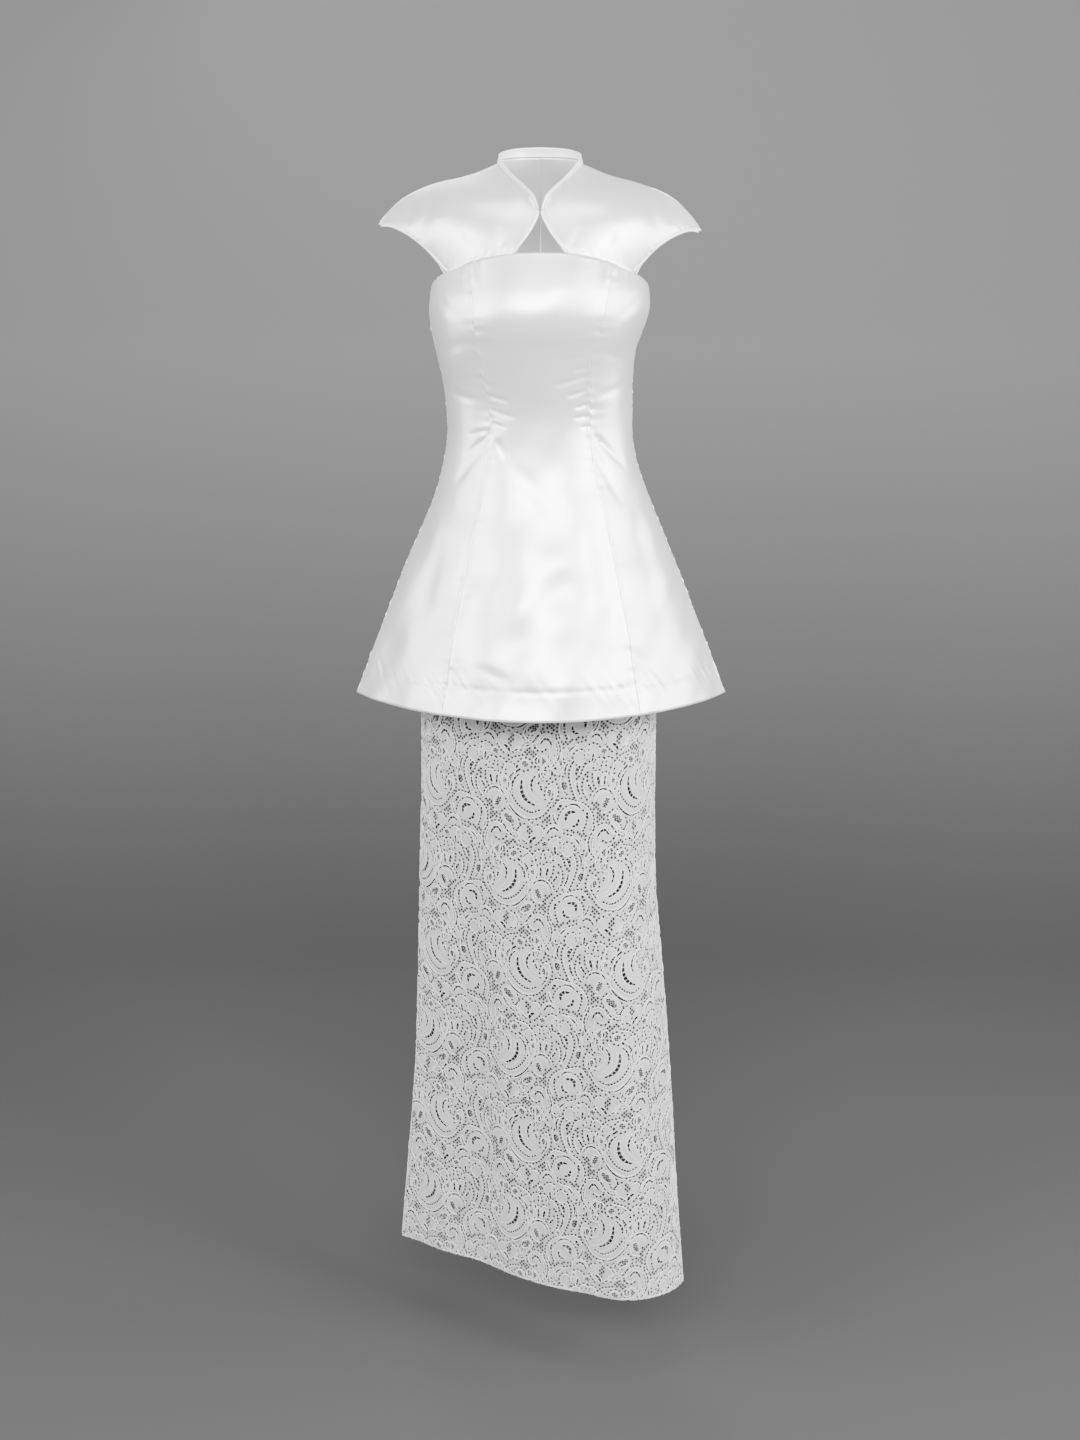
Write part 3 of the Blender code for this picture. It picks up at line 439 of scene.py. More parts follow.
def group_sockets(group, inputs, outputs):
    for name, value in inputs.items():
        socket = group.interface.new_socket(name, in_out="INPUT", socket_type="NodeSocketFloat")
        socket.default_value = value
    for name in outputs:
        group.interface.new_socket(name, in_out="OUTPUT", socket_type="NodeSocketFloat")
    return group.nodes.new("NodeGroupInput"), group.nodes.new("NodeGroupOutput")


def math_node(group, operation, first, second):
    """The output of a sum worked on two values, each a socket or a number."""
    node = group.nodes.new("ShaderNodeMath")
    node.operation = operation
    for socket, value in zip(node.inputs, (first, second)):
        if isinstance(value, float):
            socket.default_value = value
        else:
            group.links.new(value, socket)
    return node.outputs["Value"]


def weave_group():
    """Height of two crossed sets of threads: the larger of two waves, one along u and one along v."""
    group = bpy.data.node_groups.new("thread weave", "ShaderNodeTree")
    inputs = {"Threads": 1800.0, "Long Floats": 0.35, "Wobble": 0.6}
    start, end = group_sockets(group, inputs, ["Height"])
    nodes, links = group.nodes, group.links
    place = nodes.new("ShaderNodeUVMap")
    place.uv_map = "flat"
    waves = []
    for direction in ("X", "Y"):
        wave = nodes.new("ShaderNodeTexWave")
        wave.bands_direction = direction
        wave.inputs["Detail"].default_value = 1.0
        links.new(place.outputs["UV"], wave.inputs["Vector"])
        links.new(start.outputs["Threads"], wave.inputs["Scale"])
        links.new(start.outputs["Wobble"], wave.inputs["Distortion"])
        waves.append(wave.outputs["Fac"])
    low = math_node(group, "MULTIPLY", waves[1], start.outputs["Long Floats"])
    links.new(math_node(group, "MAXIMUM", waves[0], low), end.inputs["Height"])
    return group


def tone_group():
    """Slow cloudiness, from 1 - Amount to 1, that the colour is multiplied by."""
    group = bpy.data.node_groups.new("cloth tone", "ShaderNodeTree")
    start, end = group_sockets(group, {"Scale": 14.0, "Amount": 0.05}, ["Tone"])
    nodes, links = group.nodes, group.links
    place = nodes.new("ShaderNodeTexCoord")
    noise = nodes.new("ShaderNodeTexNoise")
    noise.inputs["Detail"].default_value = 3.0
    links.new(place.outputs["Object"], noise.inputs["Vector"])
    links.new(start.outputs["Scale"], noise.inputs["Scale"])
    part = math_node(group, "MULTIPLY", noise.outputs["Fac"], start.outputs["Amount"])
    links.new(math_node(group, "SUBTRACT", 1.0, part), end.inputs["Tone"])
    return group


WEAVE = weave_group()
TONE = tone_group()

# %% [markdown]
# Every finish is the same small recipe with other values: a base colour multiplied by the tone, a
# gloss, which is set as a share of metal, a roughness, a sheen for the nap, and the weave as a bump.
# The lace is also a little darker on its thin ground, and has painted shade on its inner side, which
# lies in the skirt's shade.

# %% Cloth finishes
SHEEN_ROUGH = 0.4
GROUND_SHARE = 0.90
# painted shade: the lace's colour on its inner side is multiplied by this share
INNER_SHADE_SHARE = 0.1
Finish = namedtuple("Finish", "colour gloss rough sheen threads floats bump spread tone tone_scale")
FINISHES = {
    "satin": Finish((0.95, 0.95, 0.945), 0.55, 0.33, 0.10, 2400.0, 0.30, 0.16, 0.00006, 0.04, 9.0),
    "satin_trim": Finish((0.96, 0.96, 0.955), 0.30, 0.40, 0.12, 2200.0, 0.50, 0.20, 0.00006, 0.04, 20.0),
    "lace": Finish((0.47, 0.47, 0.47), 0.0, 0.86, 0.25, 1100.0, 0.90, 0.55, 0.00016, 0.14, 60.0),
    "lace_cord": Finish((0.68, 0.68, 0.68), 0.0, 0.62, 0.25, 1500.0, 0.90, 0.40, 0.00012, 0.08, 80.0),
    # lining: a real cloth, but its near-black colour is painted shade for the shade behind the lace
    "lining": Finish((0.045, 0.045, 0.045), 0.0, 0.70, 0.10, 1500.0, 0.80, 0.25, 0.00008, 0.06, 12.0),
    # thread: its grey is painted shade, for white stitches that sink into the cloth
    "thread": Finish((0.50, 0.50, 0.50), 0.0, 0.60, 0.10, 3000.0, 0.90, 0.30, 0.00005, 0.08, 90.0),
}


def multiply_node(nodes):
    """A node that multiplies its colour A by its colour B, as far as its factor says."""
    tint = nodes.new("ShaderNodeMix")
    tint.data_type = "RGBA"
    tint.blend_type = "MULTIPLY"
    tint.inputs["Factor"].default_value = 1.0
    return tint


def cloth_material(name):
    finish = FINISHES[name]
    material = bpy.data.materials.new(name)
    material.use_nodes = True
    nodes, links = material.node_tree.nodes, material.node_tree.links
    shader = nodes["Principled BSDF"]
    shader.inputs["Metallic"].default_value = finish.gloss
    shader.inputs["Roughness"].default_value = finish.rough
    shader.inputs["Sheen Weight"].default_value = finish.sheen
    shader.inputs["Sheen Roughness"].default_value = SHEEN_ROUGH
    tone = nodes.new("ShaderNodeGroup")
    tone.node_tree = TONE
    tone.inputs["Scale"].default_value = finish.tone_scale
    tone.inputs["Amount"].default_value = finish.tone
    tint = multiply_node(nodes)
    tint.inputs["A"].default_value = (*finish.colour, 1.0)
    links.new(tone.outputs["Tone"], tint.inputs["B"])
    links.new(tint.outputs["Result"], shader.inputs["Base Color"])
    weave = nodes.new("ShaderNodeGroup")
    weave.node_tree = WEAVE
    weave.inputs["Threads"].default_value = finish.threads
    weave.inputs["Long Floats"].default_value = finish.floats
    bump = nodes.new("ShaderNodeBump")
    bump.inputs["Strength"].default_value = finish.bump
    bump.inputs["Distance"].default_value = finish.spread
    links.new(weave.outputs["Height"], bump.inputs["Height"])
    links.new(bump.outputs["Normal"], shader.inputs["Normal"])
    return material


def darker_ground(material, share):
    """Multiplies the lace's colour by share on the thin ground, where the attribute fill is 0."""
    nodes, links = material.node_tree.nodes, material.node_tree.links
    shader = nodes["Principled BSDF"]
    before = shader.inputs["Base Color"].links[0].from_socket
    fill = nodes.new("ShaderNodeAttribute")
    fill.attribute_name = "fill"
    level = nodes.new("ShaderNodeMapRange")
    level.inputs["To Min"].default_value = share
    links.new(fill.outputs["Fac"], level.inputs["Value"])
    tint = multiply_node(nodes)
    links.new(before, tint.inputs["A"])
    links.new(level.outputs["Result"], tint.inputs["B"])
    links.new(tint.outputs["Result"], shader.inputs["Base Color"])


def painted_inner_shade(material, share):
    """Painted shade: multiplies the colour by share on the cloth's inner side, for the skirt's shade there.
    """
    nodes, links = material.node_tree.nodes, material.node_tree.links
    shader = nodes["Principled BSDF"]
    before = shader.inputs["Base Color"].links[0].from_socket
    side = nodes.new("ShaderNodeNewGeometry")
    tint = multiply_node(nodes)
    tint.inputs["B"].default_value = (share, share, share, 1.0)
    links.new(side.outputs["Backfacing"], tint.inputs["Factor"])
    links.new(before, tint.inputs["A"])
    links.new(tint.outputs["Result"], shader.inputs["Base Color"])


MATERIALS = {name: cloth_material(name) for name in FINISHES}
darker_ground(MATERIALS["lace"], GROUND_SHARE)
# painted shade on the lace's inner side
painted_inner_shade(MATERIALS["lace"], INNER_SHADE_SHARE)

# %% [markdown]
# No sewn satin is smooth. Along a seam the stitches draw it into little puckers, from the corners of
# the waist the cloth drags in soft lines, and above the hem a row of stitching dimples it. Each of these
# is a small height added along the surface's normal.

# %% Creases and puckers
Crease = namedtuple("Crease", "across_a z_a across_b z_b width depth")
TOP_CREASES = (
    Crease(-0.058, -0.259, -0.098, -0.288, 0.0040, -0.0015),
    Crease(-0.060, -0.254, -0.088, -0.262, 0.0030, -0.0010),
    Crease(-0.050, -0.268, -0.036, -0.292, 0.0045, -0.0016),
    Crease(-0.058, -0.216, -0.036, -0.222, 0.0026, -0.0010),
    Crease(-0.058, -0.232, -0.030, -0.240, 0.0028, -0.0009),
    Crease(-0.056, -0.247, -0.040, -0.252, 0.0024, -0.0009),
    Crease(0.038, -0.174, 0.059, -0.170, 0.0022, -0.0007),
    Crease(0.046, -0.186, 0.060, -0.183, 0.0018, -0.0009),
    Crease(0.020, -0.203, 0.060, -0.192, 0.0030, -0.0011),
    Crease(0.036, -0.215, 0.060, -0.208, 0.0024, -0.0014),
    Crease(0.044, -0.229, 0.060, -0.224, 0.0020, -0.0011),
    Crease(0.042, -0.241, 0.060, -0.238, 0.0022, -0.0010),
    Crease(0.050, -0.252, 0.061, -0.250, 0.0018, -0.0008),
    Crease(0.066, -0.262, 0.112, -0.300, 0.0050, -0.0018),
    Crease(0.064, -0.275, 0.100, -0.338, 0.0060, -0.0015),
    Crease(-0.066, -0.272, -0.112, -0.318, 0.0060, -0.0014),
    Crease(-0.030, -0.300, 0.020, -0.352, 0.0120, -0.0013),
    Crease(-0.115, -0.215, -0.074, -0.222, 0.0050, -0.0008),
    Crease(0.075, -0.215, 0.120, -0.206, 0.0050, -0.0008),
    Crease(-0.132, -0.110, -0.098, -0.126, 0.0060, -0.0010),
    Crease(0.100, -0.124, 0.136, -0.106, 0.0060, -0.0010),
    Crease(-0.128, -0.168, -0.082, -0.154, 0.0055, -0.0007),
    Crease(0.084, -0.166, 0.122, -0.178, 0.0055, -0.0007),
    Crease(-0.030, -0.380, -0.055, -0.500, 0.0140, -0.0014),
    Crease(0.020, -0.420, -0.040, -0.505, 0.0160, -0.0016),
    Crease(0.052, -0.350, 0.070, -0.470, 0.0120, -0.0012),
    Crease(0.120, -0.330, 0.160, -0.480, 0.0140, -0.0014),
    Crease(-0.120, -0.340, -0.165, -0.500, 0.0140, -0.0012),
    Crease(-0.075, -0.520, -0.035, -0.536, 0.0060, -0.0012),
    Crease(0.105, -0.505, 0.150, -0.532, 0.0080, -0.0012),
    Crease(0.200, -0.254, 0.250, -0.268, 0.0050, -0.0014),
    Crease(0.205, -0.266, 0.262, -0.300, 0.0060, -0.0016),
    Crease(-0.200, -0.252, -0.256, -0.268, 0.0050, -0.0014),
    Crease(-0.210, -0.264, -0.266, -0.308, 0.0060, -0.0016),
    Crease(0.215, -0.130, 0.262, -0.150, 0.0070, -0.0012),
    Crease(-0.220, -0.140, -0.268, -0.128, 0.0070, -0.0012),
    Crease(0.225, -0.360, 0.270, -0.500, 0.0120, -0.0018),
    Crease(-0.235, -0.340, -0.285, -0.490, 0.0120, -0.0016),
)

Wave = namedtuple("Wave", "length turn phase height")
SLOW_WAVES = (
    Wave(0.090, 20, 0.4, 0.00040),
    Wave(0.064, 78, 2.1, 0.00030),
    Wave(0.047, -38, 4.0, 0.00022),
    Wave(0.120, 132, 5.2, 0.00045),
)

HEM_STITCH_ABOVE = 0.033
PRINCESS_PUCKER = 0.00040
HEM_PUCKER = 0.00060
SEAM_RIDGE = 0.00042
CLOSE_SEAM = 0.00004
BUST_PUCKER = 0.0003
TUCK_RIDGE = 0.0012
TUCK_DIP = 0.0009
STITCH_DIP = 0.0006
HEM_WAVE = 0.0005
EDGE_PUCKER = 0.00035
SIDE_CALM = 0.8
SIDE_SPREAD = 16.0


def crease_height(creases, across, z):
    """Each crease is a bell across its line, fading out over its ends as a soft step."""
    height = np.zeros_like(across)
    for crease in creases:
        a = np.array([crease.across_a, crease.z_a])
        run = np.array([crease.across_b, crease.z_b]) - a
        t = ((across - a[0]) * run[0] + (z - a[1]) * run[1]) / (run @ run)
        near = np.clip(t, 0, 1)
        off = np.hypot(across - a[0] - near * run[0], z - a[1] - near * run[1])
        ends = smooth_step((t + 0.25) / 0.45) * smooth_step((1.25 - t) / 0.65)
        height += crease.depth * bell(off, crease.width) * ends
    return height


def slow_height(across, z):
    """A few long waves that cross each other, so that no highlight is ruled straight."""
    height = np.zeros_like(across)
    for wave in SLOW_WAVES:
        turn = radians(wave.turn)
        along_it = across * np.cos(turn) + z * np.sin(turn)
        height += wave.height * np.sin(2 * np.pi * along_it / wave.length + wave.phase)
    return height


def ripple(at, length, seed):
    """Uneven ripples: two waves of unlike length, swelled and calmed by a slower one."""
    first = np.sin(2 * np.pi * at / length + seed)
    second = 0.7 * np.sin(2 * np.pi * at / (length * 1.73) + 2.3 * seed)
    return (first + second) * (0.62 + 0.38 * np.sin(2 * np.pi * at / (length * 6.1) + 1.7 * seed))


def top_height(across, z, angle, from_seam, side_of_gathers, hem_z):
    """All that stands above or below the top's smooth form, in metres: creases, slow waves, puckers.

    The slow waves are stronger in the peplum and calmed beside the side seams, where they would show
    as bumps in the outline.
    """
    cloudier = 1 + 0.8 * smooth_step((-0.29 - z) / 0.12)
    cloudier *= 1 - SIDE_CALM * bell(np.abs(angle) - 90, SIDE_SPREAD)
    height = crease_height(TOP_CREASES, across, z) + cloudier * slow_height(across, z)
    seam = np.exp(-from_seam / 0.009)
    height += SEAM_RIDGE * bell(from_seam - 0.0012, 0.0024)
    height += PRINCESS_PUCKER * seam * ripple(z, 0.0125, side_of_gathers)
    bust = bell(z + 0.150, 0.032) * np.exp(-from_seam / 0.016)
    height += BUST_PUCKER * bust * ripple(z, 0.0105, 1.0 + side_of_gathers)
    tucked = bell(z + 0.062, 0.022)
    height += TUCK_RIDGE * tucked * bell(from_seam - 0.006, 0.0030)
    height -= TUCK_DIP * tucked * bell(from_seam - 0.0125, 0.0030)
    from_stitch = z - (hem_z + HEM_STITCH_ABOVE)
    slanted = across + 0.8 * from_stitch
    height += HEM_PUCKER * ripple(slanted, 0.0125, 0.8) * np.exp(-np.abs(from_stitch) / 0.010)
    height -= STITCH_DIP * bell(from_stitch, 0.0035)
    below = smooth_step(-from_stitch / HEM_STITCH_ABOVE)
    height += HEM_WAVE * below * ripple(across - 0.5 * from_stitch, 0.037, 2.2)
    return height


# %% [markdown]
# The body of the top is cut in seven panels that meet at two princess seams in front, two behind, the
# sides and the centre back. Each panel is its own grid between its two seams, with its columns crowded
# towards them, because that is where the cloth bends most.

# %% The seven panels of the top
TOP_ROWS = 190
WORKED_Z = (-0.225, -0.545)
Panel = namedtuple("Panel", "name first last columns gathers rests_on")


def top_edge_z(angle):
    return curve(column(TOP_EDGE, "angle"), column(TOP_EDGE, "z"), np.abs(angle))


def fixed(angle):
    return lambda z: angle + 0 * z


def princess(name, sign):
    return lambda z: sign * table_at(PRINCESS, name, z)


PANELS = (
    Panel("top_front_centre", princess("front", -1), princess("front", 1), 64, 0.3, "yoke_front"),
    Panel("top_front_side_left", princess("front", 1), fixed(90.0), 52, 1.1, "yoke_front"),
    Panel("top_front_side_right", fixed(-90.0), princess("front", -1), 52, 2.6, "yoke_front"),
    Panel("top_back_side_left", fixed(90.0), princess("back", 1), 52, 3.9, "yoke_back"),
    Panel("top_back_side_right", princess("back", -1), fixed(-90.0), 52, 5.0, "yoke_back"),
    Panel("top_back_centre_left", princess("back", 1), fixed(180.0), 34, 0.9, "yoke_back"),
    Panel("top_back_centre_right", fixed(-180.0), princess("back", -1), 34, 4.4, "yoke_back"),
)


def crowded(count):
    """count + 1 shares from 0 to 1, closer together towards both ends, as (1 - cos) / 2 is."""
    t = np.linspace(0, 1, count + 1)
    return 0.3 * t + 0.7 * (1 - np.cos(np.pi * t)) / 2


def worked_rows(count):
    """Shares from 0 to 1 down a panel, closer together at the waist and at the hem's stitching."""
    even = np.linspace(0, 1, 800)
    z = TOP_EDGE[0].z + (TOP_HEM_Z - TOP_EDGE[0].z) * even
    crowd = 1 + 1.6 * bell(z - WORKED_Z[0], 0.045) + 0.9 * bell(z - WORKED_Z[1], 0.03)
    place = np.cumsum(crowd)
    return np.interp(np.linspace(place[0], place[-1], count), place, even)


def panel_form(panel):
    """Height and angle of each point of a panel's grid: rows from its upper edge to its hem."""
    share = crowded(panel.columns)[None, :]
    z = np.full_like(share, TOP_EDGE[0].z)
    for _ in range(12):
        z = top_edge_z(panel.first(z) + (panel.last(z) - panel.first(z)) * share)
    z = z + (TOP_HEM_Z - z) * worked_rows(TOP_ROWS)[:, None]
    first, last = panel.first(z), panel.last(z)
    return z, first + (last - first) * share


def seam_shy(smooth, shift):
    """Half a seam's gap, so that the first and last columns stay in their own panel."""
    into = np.zeros_like(smooth)
    into[:, 0] = unit(smooth[:, 1] - smooth[:, 0]) * shift
    into[:, -1] = unit(smooth[:, -2] - smooth[:, -1]) * shift
    return into


def build_panel(panel):
    z, angle = panel_form(panel)
    smooth = top_point(z, angle)
    normal = tube_normal(top_point, z, angle)
    across = flat_top.length(z, angle)
    from_seam = np.minimum(across - across[:, :1], across[:, -1:] - across)
    height = top_height(across, z, angle, from_seam, panel.gathers, TOP_HEM_Z)
    edge = z[:1] - z
    height += EDGE_PUCKER * np.exp(-edge / 0.006) * ripple(across, 0.011, 1.9)
    grid = smooth + seam_shy(smooth, CLOSE_SEAM) + normal * height[..., None]
    flat = np.stack([across, z], axis=-1)
    piece = cloth(panel.name + "_satin", grid, normal, flat, SATIN * THIN, MATERIALS["satin"])
    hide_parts(panel.name)
    share = (z[0] - TOP_HEM_Z - HEM_STITCH_ABOVE) / (z[0] - TOP_HEM_Z)
    row = np.interp(share, worked_rows(TOP_ROWS), np.arange(TOP_ROWS))
    upper, part = row.astype(int), (row % 1)[:, None]
    column_at = np.arange(len(row))
    line = grid[upper, column_at] * (1 - part) + grid[upper + 1, column_at] * part
    stitch_row(panel.name + "_hem_stitches", line, normal[upper, column_at], MATERIALS["thread"])
    return piece, smooth


panel_pieces = {}
for panel in PANELS:
    panel_pieces[panel.name] = build_panel(panel)

# %% [markdown]
# The yoke is cut in four: a front and a back over each shoulder. Each panel is the surface that blends
# its four edges (a Coons patch), pushed out a little in its middle where the shoulder fills it.

# %% The measures of the yoke
YOKE_CLOTH = 0.0013
EdgePoint = namedtuple("EdgePoint", "x y z")
SHOULDER = (
    EdgePoint(0.0500, 0.0040, 0.0440),
    EdgePoint(0.0610, 0.0040, 0.0395),
    EdgePoint(0.0740, 0.0040, 0.0340),
    EdgePoint(0.0900, 0.0040, 0.0290),
    EdgePoint(0.1110, 0.0038, 0.0240),
    EdgePoint(0.1330, 0.0034, 0.0172),
    EdgePoint(0.1500, 0.0028, 0.0095),
    EdgePoint(0.1630, 0.0022, 0.0010),
    EdgePoint(0.1735, 0.0015, -0.0090),
    EdgePoint(0.1820, 0.0008, -0.0185),
    EdgePoint(0.1885, 0.0000, -0.0280),
)
NECK_FRONT = (
    EdgePoint(0.0500, 0.0040, 0.0440),
    EdgePoint(0.0405, -0.0180, 0.0340),
    EdgePoint(0.0292, -0.0395, 0.0236),
    EdgePoint(0.0170, -0.0600, 0.0135),
    EdgePoint(0.0085, -0.0730, 0.0042),
    EdgePoint(0.0030, -0.0790, -0.0080),
)
KEYHOLE = (
    EdgePoint(0.0030, -0.0790, -0.0080),
    EdgePoint(0.0050, -0.0818, -0.0145),
    EdgePoint(0.0088, -0.0850, -0.0225),
    EdgePoint(0.0155, -0.0885, -0.0335),
    EdgePoint(0.0240, -0.0920, -0.0445),
)
ARMHOLE_FRONT = (
    EdgePoint(0.1885, 0.0000, -0.0280),
    EdgePoint(0.1740, -0.0110, -0.0270),
    EdgePoint(0.1600, -0.0225, -0.0315),
    EdgePoint(0.1440, -0.0335, -0.0405),
    EdgePoint(0.1290, -0.0425, -0.0525),
    EdgePoint(0.1160, -0.0490, -0.0665),
)
NECK_BACK = (
    EdgePoint(0.0000, 0.0520, 0.0515),
    EdgePoint(0.0200, 0.0480, 0.0512),
    EdgePoint(0.0370, 0.0350, 0.0500),
    EdgePoint(0.0470, 0.0190, 0.0475),
    EdgePoint(0.0500, 0.0040, 0.0440),
)
ARMHOLE_BACK = (
    EdgePoint(0.1885, 0.0000, -0.0280),
    EdgePoint(0.1740, 0.0125, -0.0275),
    EdgePoint(0.1600, 0.0250, -0.0325),
    EdgePoint(0.1440, 0.0365, -0.0425),
    EdgePoint(0.1290, 0.0450, -0.0550),
    EdgePoint(0.1190, 0.0490, -0.0700),
)
CENTRE_BACK = (
    EdgePoint(0.0000, 0.0520, 0.0515),
    EdgePoint(0.0000, 0.0655, 0.0200),
    EdgePoint(0.0000, 0.0745, -0.0150),
    EdgePoint(0.0000, 0.0785, -0.0500),
)
TIP_TILT = 0.0035
KEYHOLE_FOOT_ANGLE = 15.5
ARMHOLE_FRONT_FOOT_ANGLE = 61.0
ARMHOLE_BACK_FOOT_ANGLE = 118.0
YOKE_INSET = SATIN + WAIST_GAP
YOKE_TUCK = 0.0045
YOKE_CLEAR = 0.0010
YOKE_BULGE_FRONT = 0.0085
YOKE_BULGE_BACK = 0.0110

# %% Edges and the surface between them


def along(points, count):
    """count points at equal steps along a smooth curve through the given points."""
    points = np.asarray(points, float)
    place = length_along(points)
    wanted = np.linspace(0, place[-1], count)
    return np.stack([curve(place, points[:, k], wanted) for k in range(3)], axis=1)


def foot_points(first, last, count, lift):
    """Points behind the top's upper edge, between two angles and lift above it."""
    angle = np.linspace(first, last, count)
    z = top_edge_z(angle) + lift
    return top_point(z, angle) - tube_normal(top_point, z, angle) * YOKE_INSET


def coons(top, bottom, left, right):
    """The sum of the two ways of blending opposite edges, less the blend of the four corners."""
    t = np.linspace(0, 1, len(left))[:, None, None]
    s = np.linspace(0, 1, len(top))[None, :, None]
    upper = top[0] * (1 - s) * (1 - t) + top[-1] * s * (1 - t)
    lower = bottom[0] * (1 - s) * t + bottom[-1] * s * t
    across, down = left[:, None] * (1 - s) + right[:, None] * s, top[None] * (1 - t) + bottom[None] * t
    return across + down - upper - lower


def grid_normal(grid, facing):
    normal = unit(np.cross(np.gradient(grid, axis=0), np.gradient(grid, axis=1)))
    return normal * np.sign((normal * facing).sum(-1).mean())


def relaxed(grid, times=90):
    """The grid with its edges held and each inner point moved to the mean of its four neighbours."""
    for _ in range(times):
        inner = (grid[:-2, 1:-1] + grid[2:, 1:-1] + grid[1:-1, :-2] + grid[1:-1, 2:]) / 4
        grid = grid.copy()
        grid[1:-1, 1:-1] = inner
    return grid


def bulged(grid, facing, height):
    """The grid pushed out along its normal by height * sin * sin, so not at all on its edges."""
    t = np.linspace(0, np.pi, grid.shape[0])[:, None, None]
    s = np.linspace(0, np.pi, grid.shape[1])[None, :, None]
    return grid + grid_normal(grid, facing) * height * np.sin(t) * np.sin(s)


def mirrored(grid, side):
    """The grid at +X, or its mirror; the cap at +X hangs a little lower than the other."""
    out = grid.copy()
    out[..., 2] -= side * TIP_TILT * (np.clip(grid[..., 0], 0, None) / SHOULDER[-1].x) ** 4
    out[..., 0] *= side
    return out


FRONT_FACING = np.array([0.2, -1.0, 0.7])
BACK_FACING = np.array([0.2, 1.0, 0.7])
NECK_STEPS = 24
KEYHOLE_STEPS = 30
SHOULDER_STEPS = 64
BACK_NECK_STEPS = 28
BACK_ROWS = 56
ROWS_FRONT = NECK_STEPS + KEYHOLE_STEPS
TUCK_ROWS = 3


def with_tuck(grid, first, last):
    """The grid with its last rows tucked down behind the top's upper edge."""
    tuck = foot_points(first, last, grid.shape[1], -YOKE_TUCK)
    share = np.linspace(0, 1, TUCK_ROWS + 1)[1:, None, None]
    return np.concatenate([grid, grid[-1][None] * (1 - share) + tuck[None] * share])


def front_yoke():
    foot = foot_points(KEYHOLE_FOOT_ANGLE, ARMHOLE_FRONT_FOOT_ANGLE, SHOULDER_STEPS + 1, YOKE_CLEAR)
    neck = along(NECK_FRONT, NECK_STEPS + 1)
    keyhole = along((*KEYHOLE, foot[0]), KEYHOLE_STEPS + 1)
    armhole = along((*ARMHOLE_FRONT, foot[-1]), ROWS_FRONT + 1)
    grid = coons(along(SHOULDER, SHOULDER_STEPS + 1), foot, np.concatenate([neck, keyhole[1:]]), armhole)
    grid = bulged(relaxed(grid), FRONT_FACING, YOKE_BULGE_FRONT)
    return with_tuck(grid, KEYHOLE_FOOT_ANGLE, ARMHOLE_FRONT_FOOT_ANGLE)


def back_yoke():
    columns = BACK_NECK_STEPS + SHOULDER_STEPS
    foot = foot_points(180.0, ARMHOLE_BACK_FOOT_ANGLE, columns + 1, YOKE_CLEAR)
    neck = along(NECK_BACK, BACK_NECK_STEPS + 1)
    shoulder = along(SHOULDER, SHOULDER_STEPS + 1)
    armhole = along((*ARMHOLE_BACK, foot[-1]), BACK_ROWS + 1)
    centre = along((*CENTRE_BACK, foot[0]), BACK_ROWS + 1)
    grid = coons(np.concatenate([neck, shoulder[1:]]), foot, centre, armhole)
    grid = bulged(relaxed(grid), BACK_FACING, YOKE_BULGE_BACK)
    return with_tuck(grid, 180.0, ARMHOLE_BACK_FOOT_ANGLE)


# %% [markdown]
# The yoke's cloth is plain, but it is drawn where it is sewn: short puckers run up from the seam with
# the body and in from the bound armhole. Soft drags hang from the shoulder towards the armhole, and
# others run in towards the keyhole.

# %% The four yoke panels
YOKE_CREASES = (
    Crease(0.120, 0.012, 0.135, -0.030, 0.0060, -0.0009),
    Crease(0.150, 0.000, 0.150, -0.022, 0.0050, -0.0008),
    Crease(0.085, -0.036, 0.070, -0.056, 0.0050, -0.0007),
    Crease(0.045, -0.028, 0.036, -0.048, 0.0045, -0.0006),
)
YOKE_WAVES = 0.6
FOOT_PUCKER = 0.00038
ARM_PUCKER = 0.00030
SHOULDER_DIP = 0.00045


def grid_lengths(grid):
    """Length along the rows and down the columns at each point, in metres."""
    along_row = np.linalg.norm(np.diff(grid, axis=1), axis=2).cumsum(axis=1)
    down = np.linalg.norm(np.diff(grid, axis=0), axis=2).cumsum(axis=0)
    return np.pad(along_row, ((0, 0), (1, 0))), np.pad(down, ((1, 0), (0, 0)))


def yoke_height(grid, along_row, down, seed):
    height = crease_height(YOKE_CREASES, np.abs(grid[..., 0]), grid[..., 2])
    height += YOKE_WAVES * slow_height(along_row + 0.3 * seed, down)
    from_foot = np.abs(down[-1:] - YOKE_TUCK - down)
    height += FOOT_PUCKER * np.exp(-from_foot / 0.007) * ripple(along_row, 0.0115, seed)
    from_arm = along_row[:, -1:] - along_row
    height += ARM_PUCKER * np.exp(-from_arm / 0.005) * ripple(down, 0.0090, 1.4 + seed)
    height -= SHOULDER_DIP * bell(down, 0.0015)
    tucked = smooth_step((down - (down[-1:] - YOKE_TUCK) + 0.004) / 0.004)
    return height * (1 - tucked)


def edge_stitches(name, edge, inside, up):
    """Stitches a little in from an edge of a panel, where its binding is sewn down."""
    line = edge + unit(inside - edge) * STITCH_INSET + up * STITCH_LIFT
    stitch_row(name, line, up, MATERIALS["thread"])


